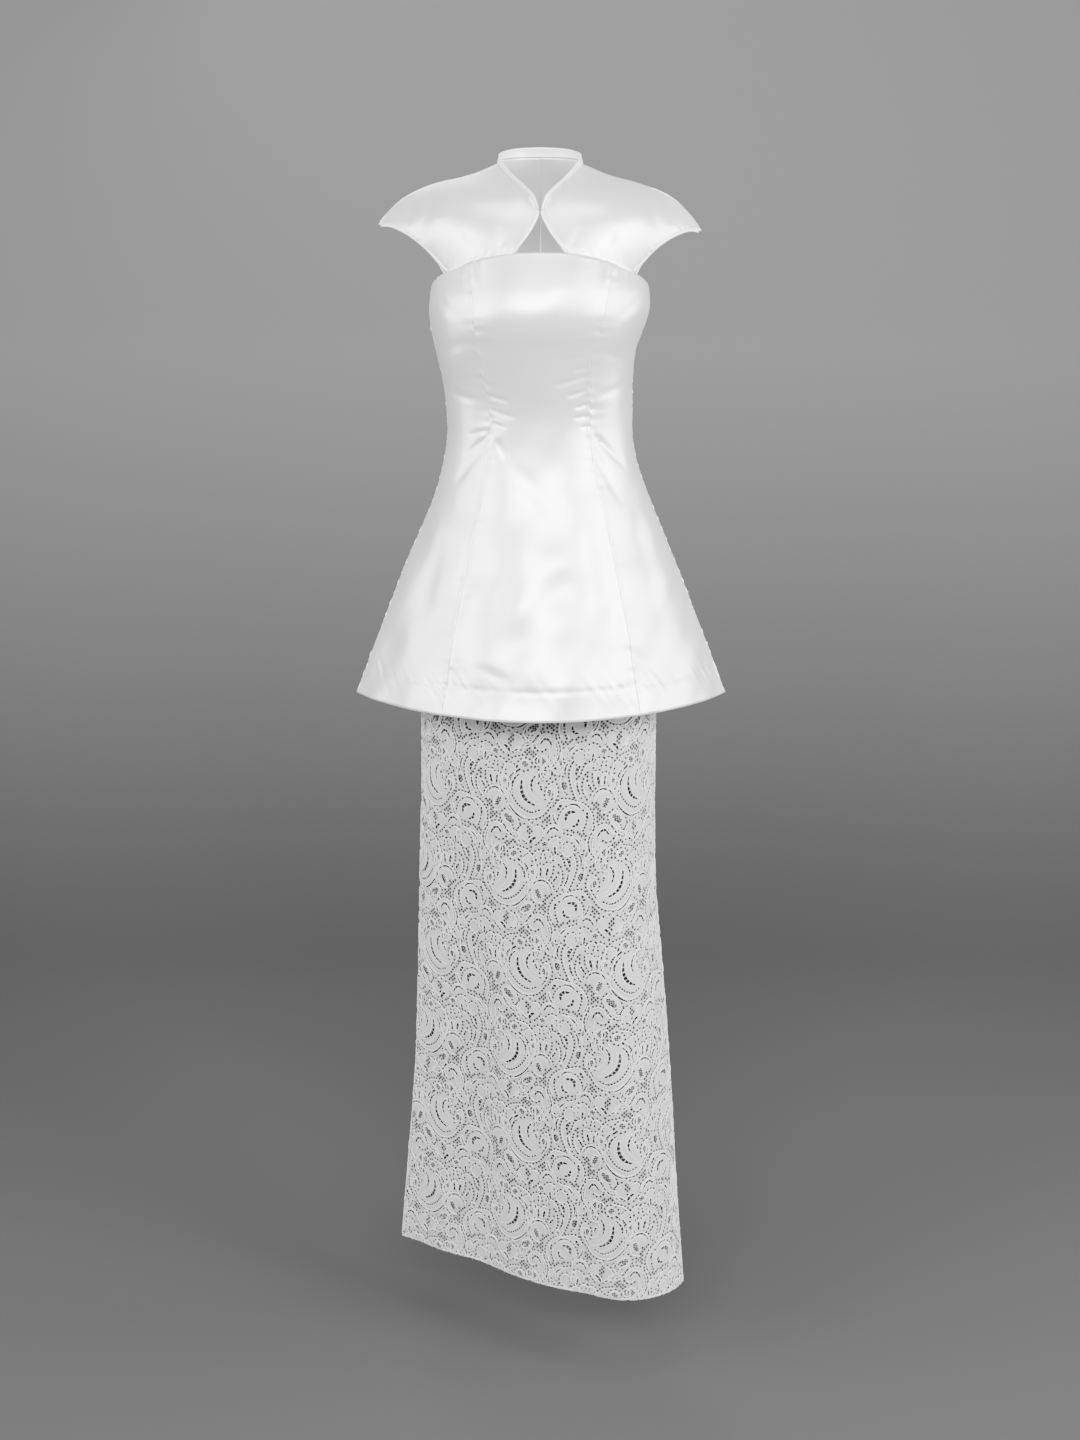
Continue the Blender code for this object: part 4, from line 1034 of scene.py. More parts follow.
def build_yoke_panel(name, side_name, side, grid, facing, shoulder, seed):
    facing = facing * (side, 1.0, 1.0)
    normal = grid_normal(grid, facing)
    normal[0, shoulder, 1] = 0
    normal[0] = unit(normal[0])
    along_row, down = grid_lengths(grid)
    shape = grid + normal * yoke_height(grid, along_row, down, seed)[..., None]
    away = -1.0 if name == "yoke_front" else 1.0
    shape[0, shoulder, 1] += away * SEAM_GAP / 2
    if name == "yoke_back":
        shape[:, 0, 0] += side * SEAM_GAP / 2
    flat = np.stack([along_row, down], axis=-1)
    piece = cloth(f"{name}_{side_name}_satin", shape, normal, flat, YOKE_CLOTH * THIN, MATERIALS["satin"])
    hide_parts(f"{name}_{side_name}")
    rows = slice(1, len(grid) - TUCK_ROWS - 1)
    edge_stitches(f"{name}_{side_name}_arm_stitches", shape[rows, -1], shape[rows, -2], normal[rows, -1])
    if name == "yoke_front":
        edge_stitches(f"{name}_{side_name}_neck_stitches", shape[rows, 0], shape[rows, 1], normal[rows, 0])
    return piece, grid, normal


yoke = {}
for side, side_name in SIDES:
    front, back = mirrored(front_yoke(), side), mirrored(back_yoke(), side)
    for part, grid, facing, shoulder, seed in (
        ("front", front, FRONT_FACING, slice(None), 0.5 + side),
        ("back", back, BACK_FACING, slice(BACK_NECK_STEPS, None), 3.5 + side),
    ):
        name = f"yoke_{part}"
        yoke[part, side] = build_yoke_panel(name, side_name, side, grid, facing, shoulder, seed)

# %% [markdown]
# The raw edges of the keyhole and the armholes are bound with a narrow bias strip folded over them. Its
# section is an oval that takes in the edge of the panel, drawn along the edge.

# %% Bindings
BINDING_WIDE = 0.0022
BINDING_DEEP = 0.0015
BINDING_SIDES = 14
BINDING_OUTSET = 0.0007
BINDING_PUCKER = 0.05


def beside_edge(edge, inside, normal):
    """Points a little beyond an edge of a panel, level with the middle of its cloth, and the way out."""
    run = unit(np.gradient(edge, axis=0))
    away = unit(np.cross(run, normal))
    away *= np.sign(-(away * (inside - edge)).sum(-1, keepdims=True))
    return edge - normal * YOKE_CLOTH / 2 + away * BINDING_OUTSET, away


def oval_tube(name, centre, wide_way, up_way, finish, wide=BINDING_WIDE, deep=BINDING_DEEP, pucker=0.0):
    """An oval section carried along a line; pucker swells it a little, unevenly, as stitching does."""
    turn = np.arange(BINDING_SIDES) * 2 * np.pi / BINDING_SIDES
    place = length_along(centre)
    swell = 1 + pucker * ripple(place, 0.006, 0.7)[:, None, None]
    ends = np.minimum(place, place[-1] - place)[:, None, None]
    swell = swell * (0.35 + 0.65 * smooth_step(ends / 0.002))
    sides = np.cos(turn)[None, :, None] * wide * wide_way[:, None]
    ups = np.sin(turn)[None, :, None] * deep * up_way[:, None]
    rings = centre[:, None] + swell * (sides + ups)
    rows = len(centre)
    faces = grid_faces(rows, BINDING_SIDES, wrap=True)
    points = rings.reshape(-1, 3)
    normals = (rings - centre[:, None]).reshape(-1, 3)
    girth = np.linspace(0, np.pi * (wide + deep), BINDING_SIDES)
    flat = np.stack([np.tile(girth, rows), np.repeat(place, BINDING_SIDES)], axis=-1)
    faces = outward(points, faces, normals)
    caps = len(points) + np.arange(2)
    points = np.concatenate([points, centre[[0, -1]]])
    flat = np.concatenate([flat, flat[[0, -1]]])
    first = np.arange(BINDING_SIDES)
    last = first + (rows - 1) * BINDING_SIDES
    ring_ends = []
    for ring, cap, inner in ((first, caps[0], centre[1]), (last, caps[1], centre[-2])):
        fan = np.stack([ring, np.roll(ring, -1), np.full(BINDING_SIDES, cap)], axis=1)
        a, b, c = points[fan[0]]
        if np.dot(np.cross(b - a, c - a), points[cap] - inner) < 0:
            fan = fan[:, ::-1]
        ring_ends.append(fan)
    triangles = np.concatenate([faces[:, :3], faces[:, [0, 2, 3]], *ring_ends])
    return add_mesh(name, points, triangles, flat, finish)


def above_top_edge(points, side):
    """Which points lie above the upper edge of the top, where a yoke comes out from behind it."""
    angle = np.degrees(np.arctan2(side * points[:, 0], -points[:, 1]))
    return points[:, 2] > top_edge_z(angle)


def smoothed(rows, times):
    """Each inner row moved to the mean of itself and its neighbours, so many times over."""
    for _ in range(times):
        rows = np.concatenate([rows[:1], (rows[:-2] + 2 * rows[1:-1] + rows[2:]) / 4, rows[-1:]])
    return rows


def bind(name, side, line, away, up):
    """A binding along the part of a line that lies above the top's upper edge."""
    keep = above_top_edge(line, side)
    line, away, up = line[keep], away[keep], up[keep]
    piece = oval_tube(name + "_satin", line, away, up, MATERIALS["satin_trim"], pucker=BINDING_PUCKER)
    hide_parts(name)


def build_bindings(side, side_name):
    """One binding down the keyhole's edge, and one round the armhole, from the front up and over."""
    _, front, front_normal = yoke["front", side]
    _, back, back_normal = yoke["back", side]
    rows = slice(NECK_STEPS, ROWS_FRONT + 1)
    up = front_normal[rows, 0]
    line, away = beside_edge(front[rows, 0], front[rows, 1], up)
    bind(f"binding_keyhole_{side_name}", side, line, away, up)

    rows = slice(0, ROWS_FRONT + 1)
    front_up = front_normal[rows, -1]
    front_line, front_away = beside_edge(front[rows, -1], front[rows, -2], front_up)
    rows = slice(0, BACK_ROWS + 1)
    back_up = back_normal[rows, -1]
    back_line, back_away = beside_edge(back[rows, -1], back[rows, -2], back_up)
    line = smoothed(np.concatenate([front_line[:1:-1], back_line[2:]]), 2)
    away = unit(smoothed(np.concatenate([front_away[:1:-1], back_away[2:]]), 5))
    up = unit(smoothed(np.concatenate([front_up[:1:-1], back_up[2:]]), 5))
    bind(f"binding_armhole_{side_name}", side, line, away, up)


for side, side_name in SIDES:
    build_bindings(side, side_name)

# %% [markdown]
# The neck is finished with a narrow stand band, low in front and a good centimetre high behind. It
# leans in towards the neck, and its face is a little rounded.

# %% The neck band
BandRow = namedtuple("BandRow", "along height")
BAND = (
    BandRow(0.000, 0.0022),
    BandRow(0.018, 0.0040),
    BandRow(0.060, 0.0045),
    BandRow(0.100, 0.0062),
    BandRow(0.130, 0.0085),
    BandRow(0.160, 0.0108),
    BandRow(0.200, 0.0120),
)
BAND_CLOTH = 0.0016
BAND_LIE = 0.75
BAND_ROWS = 9
BAND_ROLL = 0.0005
BAND_RIPPLE = 0.0002


def neck_line(part, normals):
    """The neck seam of one side, from the centre front to the centre back."""
    neck = slice(NECK_STEPS, 0, -1)
    across = slice(BACK_NECK_STEPS, None, -1)
    front, back = part
    front_normal, back_normal = normals
    seam = np.concatenate([front[neck, 0], back[0, across]])
    inside = np.concatenate([front[neck, 1], back[1, across]])
    return seam, np.concatenate([front_normal[neck, 0], back_normal[0, across]]), inside


def build_band():
    """One strip from the centre front round the back of the neck to the centre front again."""
    halves = [
        neck_line((yoke["front", s][1], yoke["back", s][1]), (yoke["front", s][2], yoke["back", s][2]))
        for s in (1, -1)
    ]
    seam, normal, inside = (np.concatenate([a, b[-2::-1]]) for a, b in zip(*halves))
    run = unit(smoothed(np.gradient(seam, axis=0), 3))
    up = np.array([0.0, 0.0, 1.0])
    stand = unit(up - (run @ up)[:, None] * run)
    lie = unit(np.cross(run, smoothed(normal, 6)))
    lie *= np.sign(-(lie * (inside - seam)).sum(-1, keepdims=True))
    rise = unit(smoothed(unit(stand + BAND_LIE * lie), 4))
    steps = length_along(seam)
    place = np.minimum(steps, steps[-1] - steps)
    height = np.interp(place, column(BAND, "along"), column(BAND, "height"))[:, None]
    facing = unit(np.cross(run, rise))
    facing *= np.sign((facing * (seam - seam.mean(axis=0))).sum(-1, keepdims=True))
    share = np.linspace(0, 1, BAND_ROWS)[:, None, None]
    grid = (seam + rise * SEAM_GAP)[None] + rise[None] * height[None] * share
    uneven = BAND_RIPPLE * ripple(steps, 0.012, 0.4)[None, :, None]
    roll = BAND_ROLL * np.sin(np.pi * share) + uneven * share
    grid = grid + facing[None] * roll
    normals = np.repeat(facing[None], BAND_ROWS, axis=0)
    flat = np.stack([np.repeat(steps[None], BAND_ROWS, axis=0), (height[:, 0] * share[..., 0])], axis=-1)
    piece = cloth("collar_band_satin", grid, normals, flat, BAND_CLOTH * THIN_BAND, MATERIALS["satin_trim"])
    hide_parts("collar_band")
    return piece, grid


collar, collar_form = build_band()

# %% [markdown]
# The skirt hangs from a plain waistband that lies inside the top's waist, and it is lined: a smooth
# cloth that stops a hand's breadth above the lace's hem, coloured near black as painted shade for the
# shade behind the lace. The lining hangs a little further in.

# %% Waistband and lining
WAISTBAND_CLOTH = 0.0025
LINING = 0.0010
WAISTBAND_COLUMNS = 200
LINING_ROWS = 64
LINING_COLUMNS = 60
LINING_STRETCHES = ("upper", "middle", "lower")
LINING_CREASES = (
    Crease(-0.060, -0.800, -0.090, -1.150, 0.014, -0.0010),
    Crease(0.050, -0.700, 0.060, -1.100, 0.016, -0.0012),
    Crease(0.000, -0.900, -0.010, -1.200, 0.014, -0.0010),
)


def build_waistband():
    z = np.linspace(WAISTBAND_TOP_Z, WAISTBAND_BOTTOM_Z, 9)[:, None]
    angle = (np.arange(WAISTBAND_COLUMNS) * 360.0 / WAISTBAND_COLUMNS)[None]
    z, angle = z + 0 * angle, angle + 0 * z
    normal = tube_normal(top_point, z, angle)
    grid = top_point(z, angle) - normal * (SATIN + WAIST_GAP)
    grid[..., 2] = z
    faces = outward(grid.reshape(-1, 3), grid_faces(9, WAISTBAND_COLUMNS, wrap=True), normal.reshape(-1, 3))
    flat = np.stack([np.radians(angle) * 0.1, z], axis=-1).reshape(-1, 2)
    piece = add_mesh("skirt_waistband_satin", grid.reshape(-1, 3), faces, flat, MATERIALS["satin_trim"])
    wall = piece.modifiers.new("thickness", "SOLIDIFY")
    wall.thickness = WAISTBAND_CLOTH * THIN_BAND
    wall.offset = -1.0
    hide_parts("skirt_waistband")
    return piece, np.concatenate([grid, grid[:, :1]], axis=1)


def build_lining(name, middle):
    share = crowded(LINING_COLUMNS)[None]
    z = np.linspace(WAISTBAND_BOTTOM_Z - SEAM_GAP, LINING_HEM_Z, LINING_ROWS)[:, None] + 0 * share
    angle = middle - 90.0 + 180.0 * share + 0 * z
    smooth = lining_point(z, angle)
    normal = tube_normal(lining_point, z, angle)
    along_row, _ = grid_lengths(smooth)
    across = along_row - along_row[:, LINING_COLUMNS // 2][:, None]
    calm = smooth_step((WAISTBAND_BOTTOM_Z - 0.05 - z) / 0.10)
    height = calm * (crease_height(LINING_CREASES, across, z) - 0.0004 + 0.5 * slow_height(across, z))
    grid = smooth + seam_shy(smooth, SEAM_GAP / 2) + normal * np.minimum(height, 0.0)[..., None]
    flat = np.stack([across, z], axis=-1)
    piece = cloth(name + "_cloth", grid, normal, flat, LINING * THIN, MATERIALS["lining"])
    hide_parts(*[f"{name}_{stretch}" for stretch in LINING_STRETCHES])
    return piece, smooth


waistband, waistband_form = build_waistband()
lining_front, lining_front_form = build_lining("skirt_lining_front", 0.0)
lining_back, lining_back_form = build_lining("skirt_lining_back", 180.0)

# %% [markdown]
# The lace is a corded one: scrolls, a ring flower, fans of petals and small leaves, packed close, with
# slits and little nets between them. The pattern repeats every 13 by 23 cm, and the lower half of each
# repeat is the mirror image of the upper half. It is charted here in millimetres from the middle of
# the big scroll. A gap is a curve through three points, cut as a row of short slits with a thread
# left between each two. A net is an oval window crossed by threads. A cord is a smooth line through its
# points, and where its chain is 1 or -1, a chain of small holes runs along that side of it. What ground
# is left between the motifs gets rows of small holes.

# %% The chart of the lace, in millimetres
MM = 0.001
REPEAT_WIDTH = 131.0
REPEAT_HEIGHT = 226.0
MIRROR_SHIFT = -23.0

Gap = namedtuple("Gap", "x_a z_a x_b z_b x_c z_c wide")
SCROLL_GAPS = (
    Gap(-12, 20, -21, 9, -20, -6, 2.0),
    Gap(-10, 13, -7.5, -8, 8, -19, 3.6),
    Gap(7.5, 19, 1.5, 9, 4, -3, 2.2),
    Gap(13, 7, 13, 3, 15, -1, 2.6),
    Gap(28, 2, 27, -10, 20, -21, 2.0),
    Gap(-36, 22, -37.5, 6, -31, -9, 1.6),
    Gap(-25, -19, -15, -31, -3, -37.5, 1.5),
)
FAN_GAPS = (
    Gap(17.5, 31, 17.2, 24, 18.6, 17, 2.8),
    Gap(25, 36, 27, 30, 31.5, 25, 2.4),
    Gap(60, 30, 55.5, 25, 54.5, 17, 3.6),
    Gap(56, 11, 57, 2, 61.5, -8, 1.9),
    Gap(80.5, 17, 81.5, 11, 83, 5, 2.9),
    Gap(89.6, 17.5, 90, 11, 89, 4.5, 2.8),
    Gap(68.5, 8, 71, 4, 74.5, -1.5, 2.4),
    Gap(105, 9.5, 104.5, 3, 101, -4, 3.4),
    Gap(75.5, -10, 87, 0.5, 103, -9.5, 1.7),
    Gap(111, 2, 106, -7, 108, -18, 1.5),
    Gap(45, 34, 41, 26, 42, 17, 1.6),
)
FLOWER_GAPS = (
    Gap(45.5, -38, 46.5, -28, 57, -27, 3.8),
    Gap(52, -44, 59, -42, 60, -34, 3.0),
    Gap(38.5, -16, 36.5, -21, 33.5, -25, 3.6),
    Gap(70, -26, 70.3, -31, 71.5, -37, 2.7),
    Gap(80, -42, 79, -50, 74.5, -57, 1.9),
    Gap(47, -17, 57, -18, 62, -24, 1.5),
    Gap(29, -28, 33, -40, 43, -48, 1.4),
)
LEAF_GAPS = (
    Gap(78, -51, 74.5, -70, 86, -87, 1.7),
    Gap(84, -59, 91, -49.5, 98, -57, 2.5),
    Gap(11.5, -58, 6, -62, 3, -68, 3.2),
    Gap(23, -55, 30, -46, 38, -51, 2.2),
    Gap(34, -68, 34.5, -74, 35.5, -80, 2.2),
    Gap(-10, -55, -8, -61, -1, -66, 2.2),
    Gap(104, -50, 110, -57, 118, -60, 1.7),
    Gap(53, -58, 60, -62, 66, -70, 1.6),
)
LACE_GAPS = SCROLL_GAPS + FAN_GAPS + FLOWER_GAPS + LEAF_GAPS

Net = namedtuple("Net", "x z wide high lean")
LACE_NETS = (
    Net(24.5, -3, 8, 11, 25),
    Net(-7, 32, 8, 9, 45),
    Net(7, 36, 7, 11, 10),
    Net(41, 6, 8, 14, 15),
    Net(62, -10, 6, 8, 0),
    Net(92, -17, 8, 15, -20),
    Net(107, -37, 9, 17, 48),
    Net(98, 11, 7, 9, 45),
    Net(40, -64, 8, 6, 10),
    Net(95, -77, 10, 13, 0),
    Net(95, -95, 9, 12, 45),
    Net(5, -41, 7, 6, 0),
    Net(21, -67, 8, 7, 30),
    Net(-10, -64, 5, 7, 20),
)
NET_PITCH = 3.5
NET_HOLE = 1.55

LaceCord = namedtuple("LaceCord", "chain points")
LACE_CORDS = (
    LaceCord(
        -1,
        ((-8, 41), (-24, 36), (-33, 22), (-34, 6), (-27, -12), (-16, -27), (0, -35), (15, -31), (25, -18)),
    ),
    LaceCord(1, ((-14, 27), (-25, 19), (-28, 4), (-22, -11), (-11, -24), (3, -30), (15, -26))),
    LaceCord(0, ((-14, 13), (-16, 2), (-12, -11), (-3, -22), (7, -27))),
    LaceCord(0, ((-5, 18), (-7, 5), (-3, -7), (6, -16), (16, -19))),
    LaceCord(0, ((15, 19), (8, 11), (8, 0), (14, -8), (22, -10))),
    LaceCord(0, ((4, 25), (-2, 16), (-2, 5), (3, -7), (11, -14))),
    LaceCord(-1, ((12, 44), (12, 30), (13, 16), (19, 13), (23, 18), (22, 32), (18, 42))),
    LaceCord(-1, ((21, 41), (23, 30), (28, 22), (34, 19), (36, 25), (31, 35), (25, 43))),
    LaceCord(1, ((62, 18), (66, 29), (73, 33), (78, 28))),
    LaceCord(1, ((77, 24), (79, 36), (86, 37), (88, 26))),
    LaceCord(1, ((86, 26), (91, 37), (98, 34), (98, 22))),
    LaceCord(1, ((97, 23), (103, 32), (112, 27), (109, 13))),
    LaceCord(1, ((73, -13), (77, -3), (88, 2.5), (100, -1), (106, -12), (103, -22))),
    LaceCord(0, ((78, -16), (81, -7), (89, -3), (97, -7), (100, -17), (94, -28), (86, -29))),
    LaceCord(-1, ((66, 15), (64, 5), (67, -6), (72, -12))),
    LaceCord(-1, ((52, 34), (48, 24), (49, 10), (53, -2), (58, -14))),
    LaceCord(1, ((37, -45), (38, -32), (44, -22), (54, -20), (64, -27), (68, -39), (64, -51))),
    LaceCord(1, ((30, -22), (38, -12), (50, -13), (63, -17), (73, -26), (77, -38), (73, -50))),
    LaceCord(1, ((104, -26), (113, -33), (119, -45), (112, -52), (103, -45), (97, -33), (104, -26))),
    LaceCord(-1, ((83, -50), (79, -64), (81, -78), (88, -89))),
    LaceCord(0, ((88, -58), (86, -70), (89, -80), (95, -87))),
    LaceCord(1, ((84, -46), (92, -43), (100, -48), (103, -58), (97, -64), (91, -60))),
    LaceCord(-1, ((-2, -44), (-9, -47), (-12, -55), (-5, -62), (2, -66))),
    LaceCord(1, ((6, -47), (14, -45), (19, -52), (16, -60), (8, -68))),
    LaceCord(1, ((20, -58), (22, -47), (31, -42), (40, -46), (42, -55))),
    LaceCord(1, ((26, -72), (28, -62), (35, -58), (42, -64), (41, -76))),
    LaceCord(1, ((46, -56), (54, -58), (60, -66), (62, -76))),
    LaceCord(-1, ((51, -65), (45, -67), (43, -75), (48, -82), (55, -79), (56, -70), (51, -65))),
    LaceCord(-1, ((67, -62), (63, -69), (66, -78), (72, -76), (73, -66), (67, -62))),
    LaceCord(-1, ((-22, -44), (-30, -40), (-33, -48), (-27, -56), (-19, -53), (-22, -44))),
    LaceCord(1, ((88, 20), (94, 16), (94, 6), (90, 1), (86, 7), (85, 16), (88, 20))),
    LaceCord(1, ((76, 21), (82, 22), (86, 8), (82, 1), (77, 9), (76, 21))),
    LaceCord(1, ((98, 17), (104, 14), (106, 3), (101, -5), (97, 4), (98, 17))),
    LaceCord(-1, ((-9, 38), (-15, 31), (-9, 25), (-2, 28), (-1, 35), (-9, 38))),
    LaceCord(1, ((22, 5), (28, 9), (32, 1), (30, -11), (24, -14), (20, -5), (22, 5))),
    LaceCord(1, ((106, -64), (110, -54), (119, -54), (124, -63))),
    LaceCord(1, ((36, 40), (38, 28), (36, 14), (38, 0), (44, -8))),
)
CHAIN_AWAY = 2.2
CHAIN_PITCH = 4.1
CHAIN_LONG = 1.8
CHAIN_WIDE = 1.8
CORD_WIDE = 0.95
CORD_HIGH = 0.95
CORD_STEP = 4.4
CORD_SIDES = 3

# %% Outlines worked out from the chart
GAP_STEPS = 7
SLIT_LONG = 5.6
SLIT_STATIONS = 60
BRIDGE = 0.9
SLIT_WIDER = 1.6
SLIT_SHARES = np.array([0.6, 1.0, 0.6])
CORD_MARGIN = 1.15
RIM_POINTS = 12
RIM_MARGIN = 0.7


def sideways(run):
    """Each direction of the flat, turned a quarter round."""
    return np.stack([-run[:, 1], run[:, 0]], axis=1)


def lattice(columns, rows):
    """Column and row of each point of a net."""
    return (k.ravel() for k in np.meshgrid(np.arange(columns), np.arange(rows)))


def gap_line(gap, steps):
    """The parabola through a gap's three points, the direction across it, and its share from 0 to 1."""
    t = np.linspace(0, 1, steps)[:, None]
    a, b, c = ((gap.x_a, gap.z_a), (gap.x_b, gap.z_b), (gap.x_c, gap.z_c))
    a, b, c = np.array(a), np.array(b), np.array(c)
    line = a * (1 - t) * (1 - 2 * t) + 4 * b * t * (1 - t) + c * t * (2 * t - 1)
    return line, sideways(unit(np.gradient(line, axis=0))), t


def gap_outline(gap):
    """The line of the cord round a gap: half its width times sin^0.6 along it, plus the margin."""
    line, across, t = gap_line(gap, GAP_STEPS)
    half = gap.wide / 2 * np.sin(np.pi * np.clip(t, 0.02, 0.98)) ** 0.6 + CORD_MARGIN
    return np.concatenate([line + across * half, (line - across * half)[::-1]])


def gap_slits(gap):
    """A gap as a row of short slits, each a blunt lens, with a thread left between each two."""
    fine, _, _ = gap_line(gap, 12)
    length = np.linalg.norm(np.diff(fine, axis=0), axis=1).sum()
    count = max(1, int(round(length / SLIT_LONG)))
    start = np.arange(count)[:, None] / count + BRIDGE / 2 / length
    t = start + (1 / count - BRIDGE / length) * np.array([0.0, 0.5, 1.0])
    line, across, _ = gap_line(gap, SLIT_STATIONS + 1)
    spots = np.rint(t * SLIT_STATIONS).astype(int)
    swell = np.sin(np.pi * np.clip(t, 0.05, 0.95)) ** 0.5
    half = (gap.wide / 2 * SLIT_WIDER * swell * SLIT_SHARES)[..., None]
    left = line[spots] + across[spots] * half
    right = line[spots] - across[spots] * half
    return list(np.concatenate([left, right[:, ::-1]], axis=1))


def net_frame(net):
    lean = radians(net.lean)
    return np.array([[np.cos(lean), np.sin(lean)], [-np.sin(lean), np.cos(lean)]])


def net_holes(net):
    """Diamonds on a diagonal lattice, as many as lie inside the oval window."""
    reach = np.arange(-6, 7)
    i, j = (k.ravel() for k in np.meshgrid(reach, reach))
    spots = np.stack([(i + j) * NET_PITCH / 2, (i - j) * NET_PITCH / 2], axis=1)
    inside = (spots[:, 0] / (net.wide / 2 - 0.9)) ** 2 + (spots[:, 1] / (net.high / 2 - 0.9)) ** 2 <= 1
    diamond = NET_HOLE * np.array([(1, 0), (0, 1), (-1, 0), (0, -1)])
    return [(spot + diamond) @ net_frame(net) + (net.x, net.z) for spot in spots[inside]]


def net_rim(net):
    """The cord's oval, a little wider than the window."""
    turn = np.arange(RIM_POINTS) * 2 * np.pi / RIM_POINTS
    wide, high = net.wide / 2 + RIM_MARGIN, net.high / 2 + RIM_MARGIN
    oval = np.stack([np.cos(turn) * wide, np.sin(turn) * high], axis=1)
    return oval @ net_frame(net) + (net.x, net.z)


def even_line(points, closed, step):
    """A smooth line through the points, cut into even steps."""
    points = np.asarray(points, float)
    if closed:
        points = np.concatenate([points[-3:], points, points[:3]])
    place = length_along(points)
    start, stop = (place[3], place[-3]) if closed else (0, place[-1])
    count = max(4, int(round((stop - start) / step)) + 1)
    wanted = np.linspace(start, stop, count)
    line = np.stack([curve(place, points[:, k], wanted) for k in range(2)], axis=1)
    return line[:-1] if closed else line


def chain_holes(cord):
    """Small diamonds, end to end, beside one side of a cord."""
    line = even_line(cord.points, False, CHAIN_PITCH)
    run = unit(np.diff(line, axis=0))
    across = sideways(run) * cord.chain
    middle = (line[1:] + line[:-1]) / 2 + across * CHAIN_AWAY
    corners = [run * CHAIN_LONG, across * CHAIN_WIDE, -run * CHAIN_LONG, -across * CHAIN_WIDE]
    return list(np.stack([middle + corner for corner in corners], axis=1))


def both_halves(line):
    """A line of the chart, and its mirror image in the lower half of the repeat."""
    return [line, line * (-1, 1) + (MIRROR_SHIFT, -REPEAT_HEIGHT / 2)]


holes = [slit for gap in LACE_GAPS for slit in gap_slits(gap)]
holes += [hole for net in LACE_NETS for hole in net_holes(net)]
holes += [hole for cord in LACE_CORDS if cord.chain for hole in chain_holes(cord)]
holes = [half for hole in holes for half in both_halves(hole)]
print("holes in one repeat:", len(holes))

# %% [markdown]
# One repeat is cut into triangles round its holes, once, with a constrained Delaunay triangulation. Its
# tiles fit each other edge to edge, so the whole cloth is the tile laid side by side, trimmed at the
# seams and hems by drawing the outer points in to the edge, and then wrapped round the skirt.

# %% One tile of lace
TILE_MARGIN = 26.0
GRID_PITCH = 9.3
GRID_CLEAR = 2.4
GROUND_PITCH = 5.0
GROUND_CLEAR = 2.4
HOLE_CLEAR = 0.3
GROUND_HOLE = 1.8


def neighbours(lines, low, high):
    """The lines of the repeat and of those round it, where they come between low and high."""
    near = []
    for i in (-1, 0, 1):
        for j in (-1, 0, 1):
            moved = [line + (i * REPEAT_WIDTH, j * REPEAT_HEIGHT) for line in lines]
            near += [m for m in moved if (m.max(axis=0) > low).all() and (m.min(axis=0) < high).all()]
    return near


def anticlockwise(outline):
    x, z = outline.T
    return outline if (x * np.roll(z, -1) - np.roll(x, -1) * z).sum() > 0 else outline[::-1]


def inner_points(low, high):
    """A staggered net of points that repeats with the pattern, slightly shaken so that no four agree."""
    columns, rows = round(REPEAT_WIDTH / GRID_PITCH), round(REPEAT_HEIGHT / GRID_PITCH)
    i, j = lattice(columns, rows)
    x = (i + 0.5 * (j % 2)) * REPEAT_WIDTH / columns + 0.6 * np.sin(3.1 * i + 1.7 * j)
    z = j * REPEAT_HEIGHT / rows + 0.6 * np.sin(2.3 * i - 4.1 * j)
    base = np.stack([x, z], axis=1)
    shifts = [(a * REPEAT_WIDTH, b * REPEAT_HEIGHT) for a in (-2, -1, 0, 1) for b in (-2, -1, 0, 1)]
    points = np.concatenate([base + shift for shift in shifts])
    return points[((points > low) & (points < high)).all(axis=1)]


def within(points, outline):
    """Which points lie inside a closed outline, by counting the sides that a ray to the right meets."""
    x, z = points[:, :1], points[:, 1:]
    x_a, z_a = outline.T[:, None]
    x_b, z_b = np.roll(outline, -1, axis=0).T[:, None]
    rise = np.where(z_b == z_a, 1.0, z_b - z_a)
    meets = ((z_a > z) != (z_b > z)) & (x < x_a + (z - z_a) * (x_b - x_a) / rise)
    return meets.sum(axis=1) % 2 == 1


def motif_fill(points):
    """1 inside a motif, where the cloth is thick, and 0 on the thin ground between them."""
    fill = np.zeros(len(points), bool)
    motifs = [even_line(cord.points, False, CORD_STEP) for cord in LACE_CORDS if cord.chain]
    motifs = [half for motif in motifs for half in both_halves(motif)]
    for motif in neighbours(motifs, points.min(axis=0), points.max(axis=0)):
        fill |= within(points, motif)
    return fill


def ground_holes():
    """Small diamonds in rows on the ground between the motifs, clear of every cord and hole."""
    columns, rows = round(REPEAT_WIDTH / GROUND_PITCH), 2 * round(REPEAT_HEIGHT / GROUND_PITCH)
    i, j = lattice(columns, rows)
    x = (i + 0.5 * (j % 2)) * REPEAT_WIDTH / columns
    spots = np.stack([x, -(j + 0.5) * REPEAT_HEIGHT / rows], axis=1)
    spots = spots[~motif_fill(spots)]
    cords = [half for cord in LACE_CORDS for half in both_halves(even_line(cord.points, False, 1.0))]
    low, high = spots.min(axis=0) - 5, spots.max(axis=0) + 5
    for lines, clear in ((cords, GROUND_CLEAR), (holes, GROUND_CLEAR + HOLE_CLEAR)):
        near = np.concatenate(neighbours(lines, low, high))
        away = np.array([((near - spot) ** 2).sum(axis=1).min() for spot in spots])
        spots = spots[away > clear**2]
    diamond = GROUND_HOLE * np.array([(1, 0), (0, 1.2), (-1, 0), (0, -1.2)])
    return [spot + diamond for spot in spots]


holes += ground_holes()
print("with those of the ground:", len(holes))


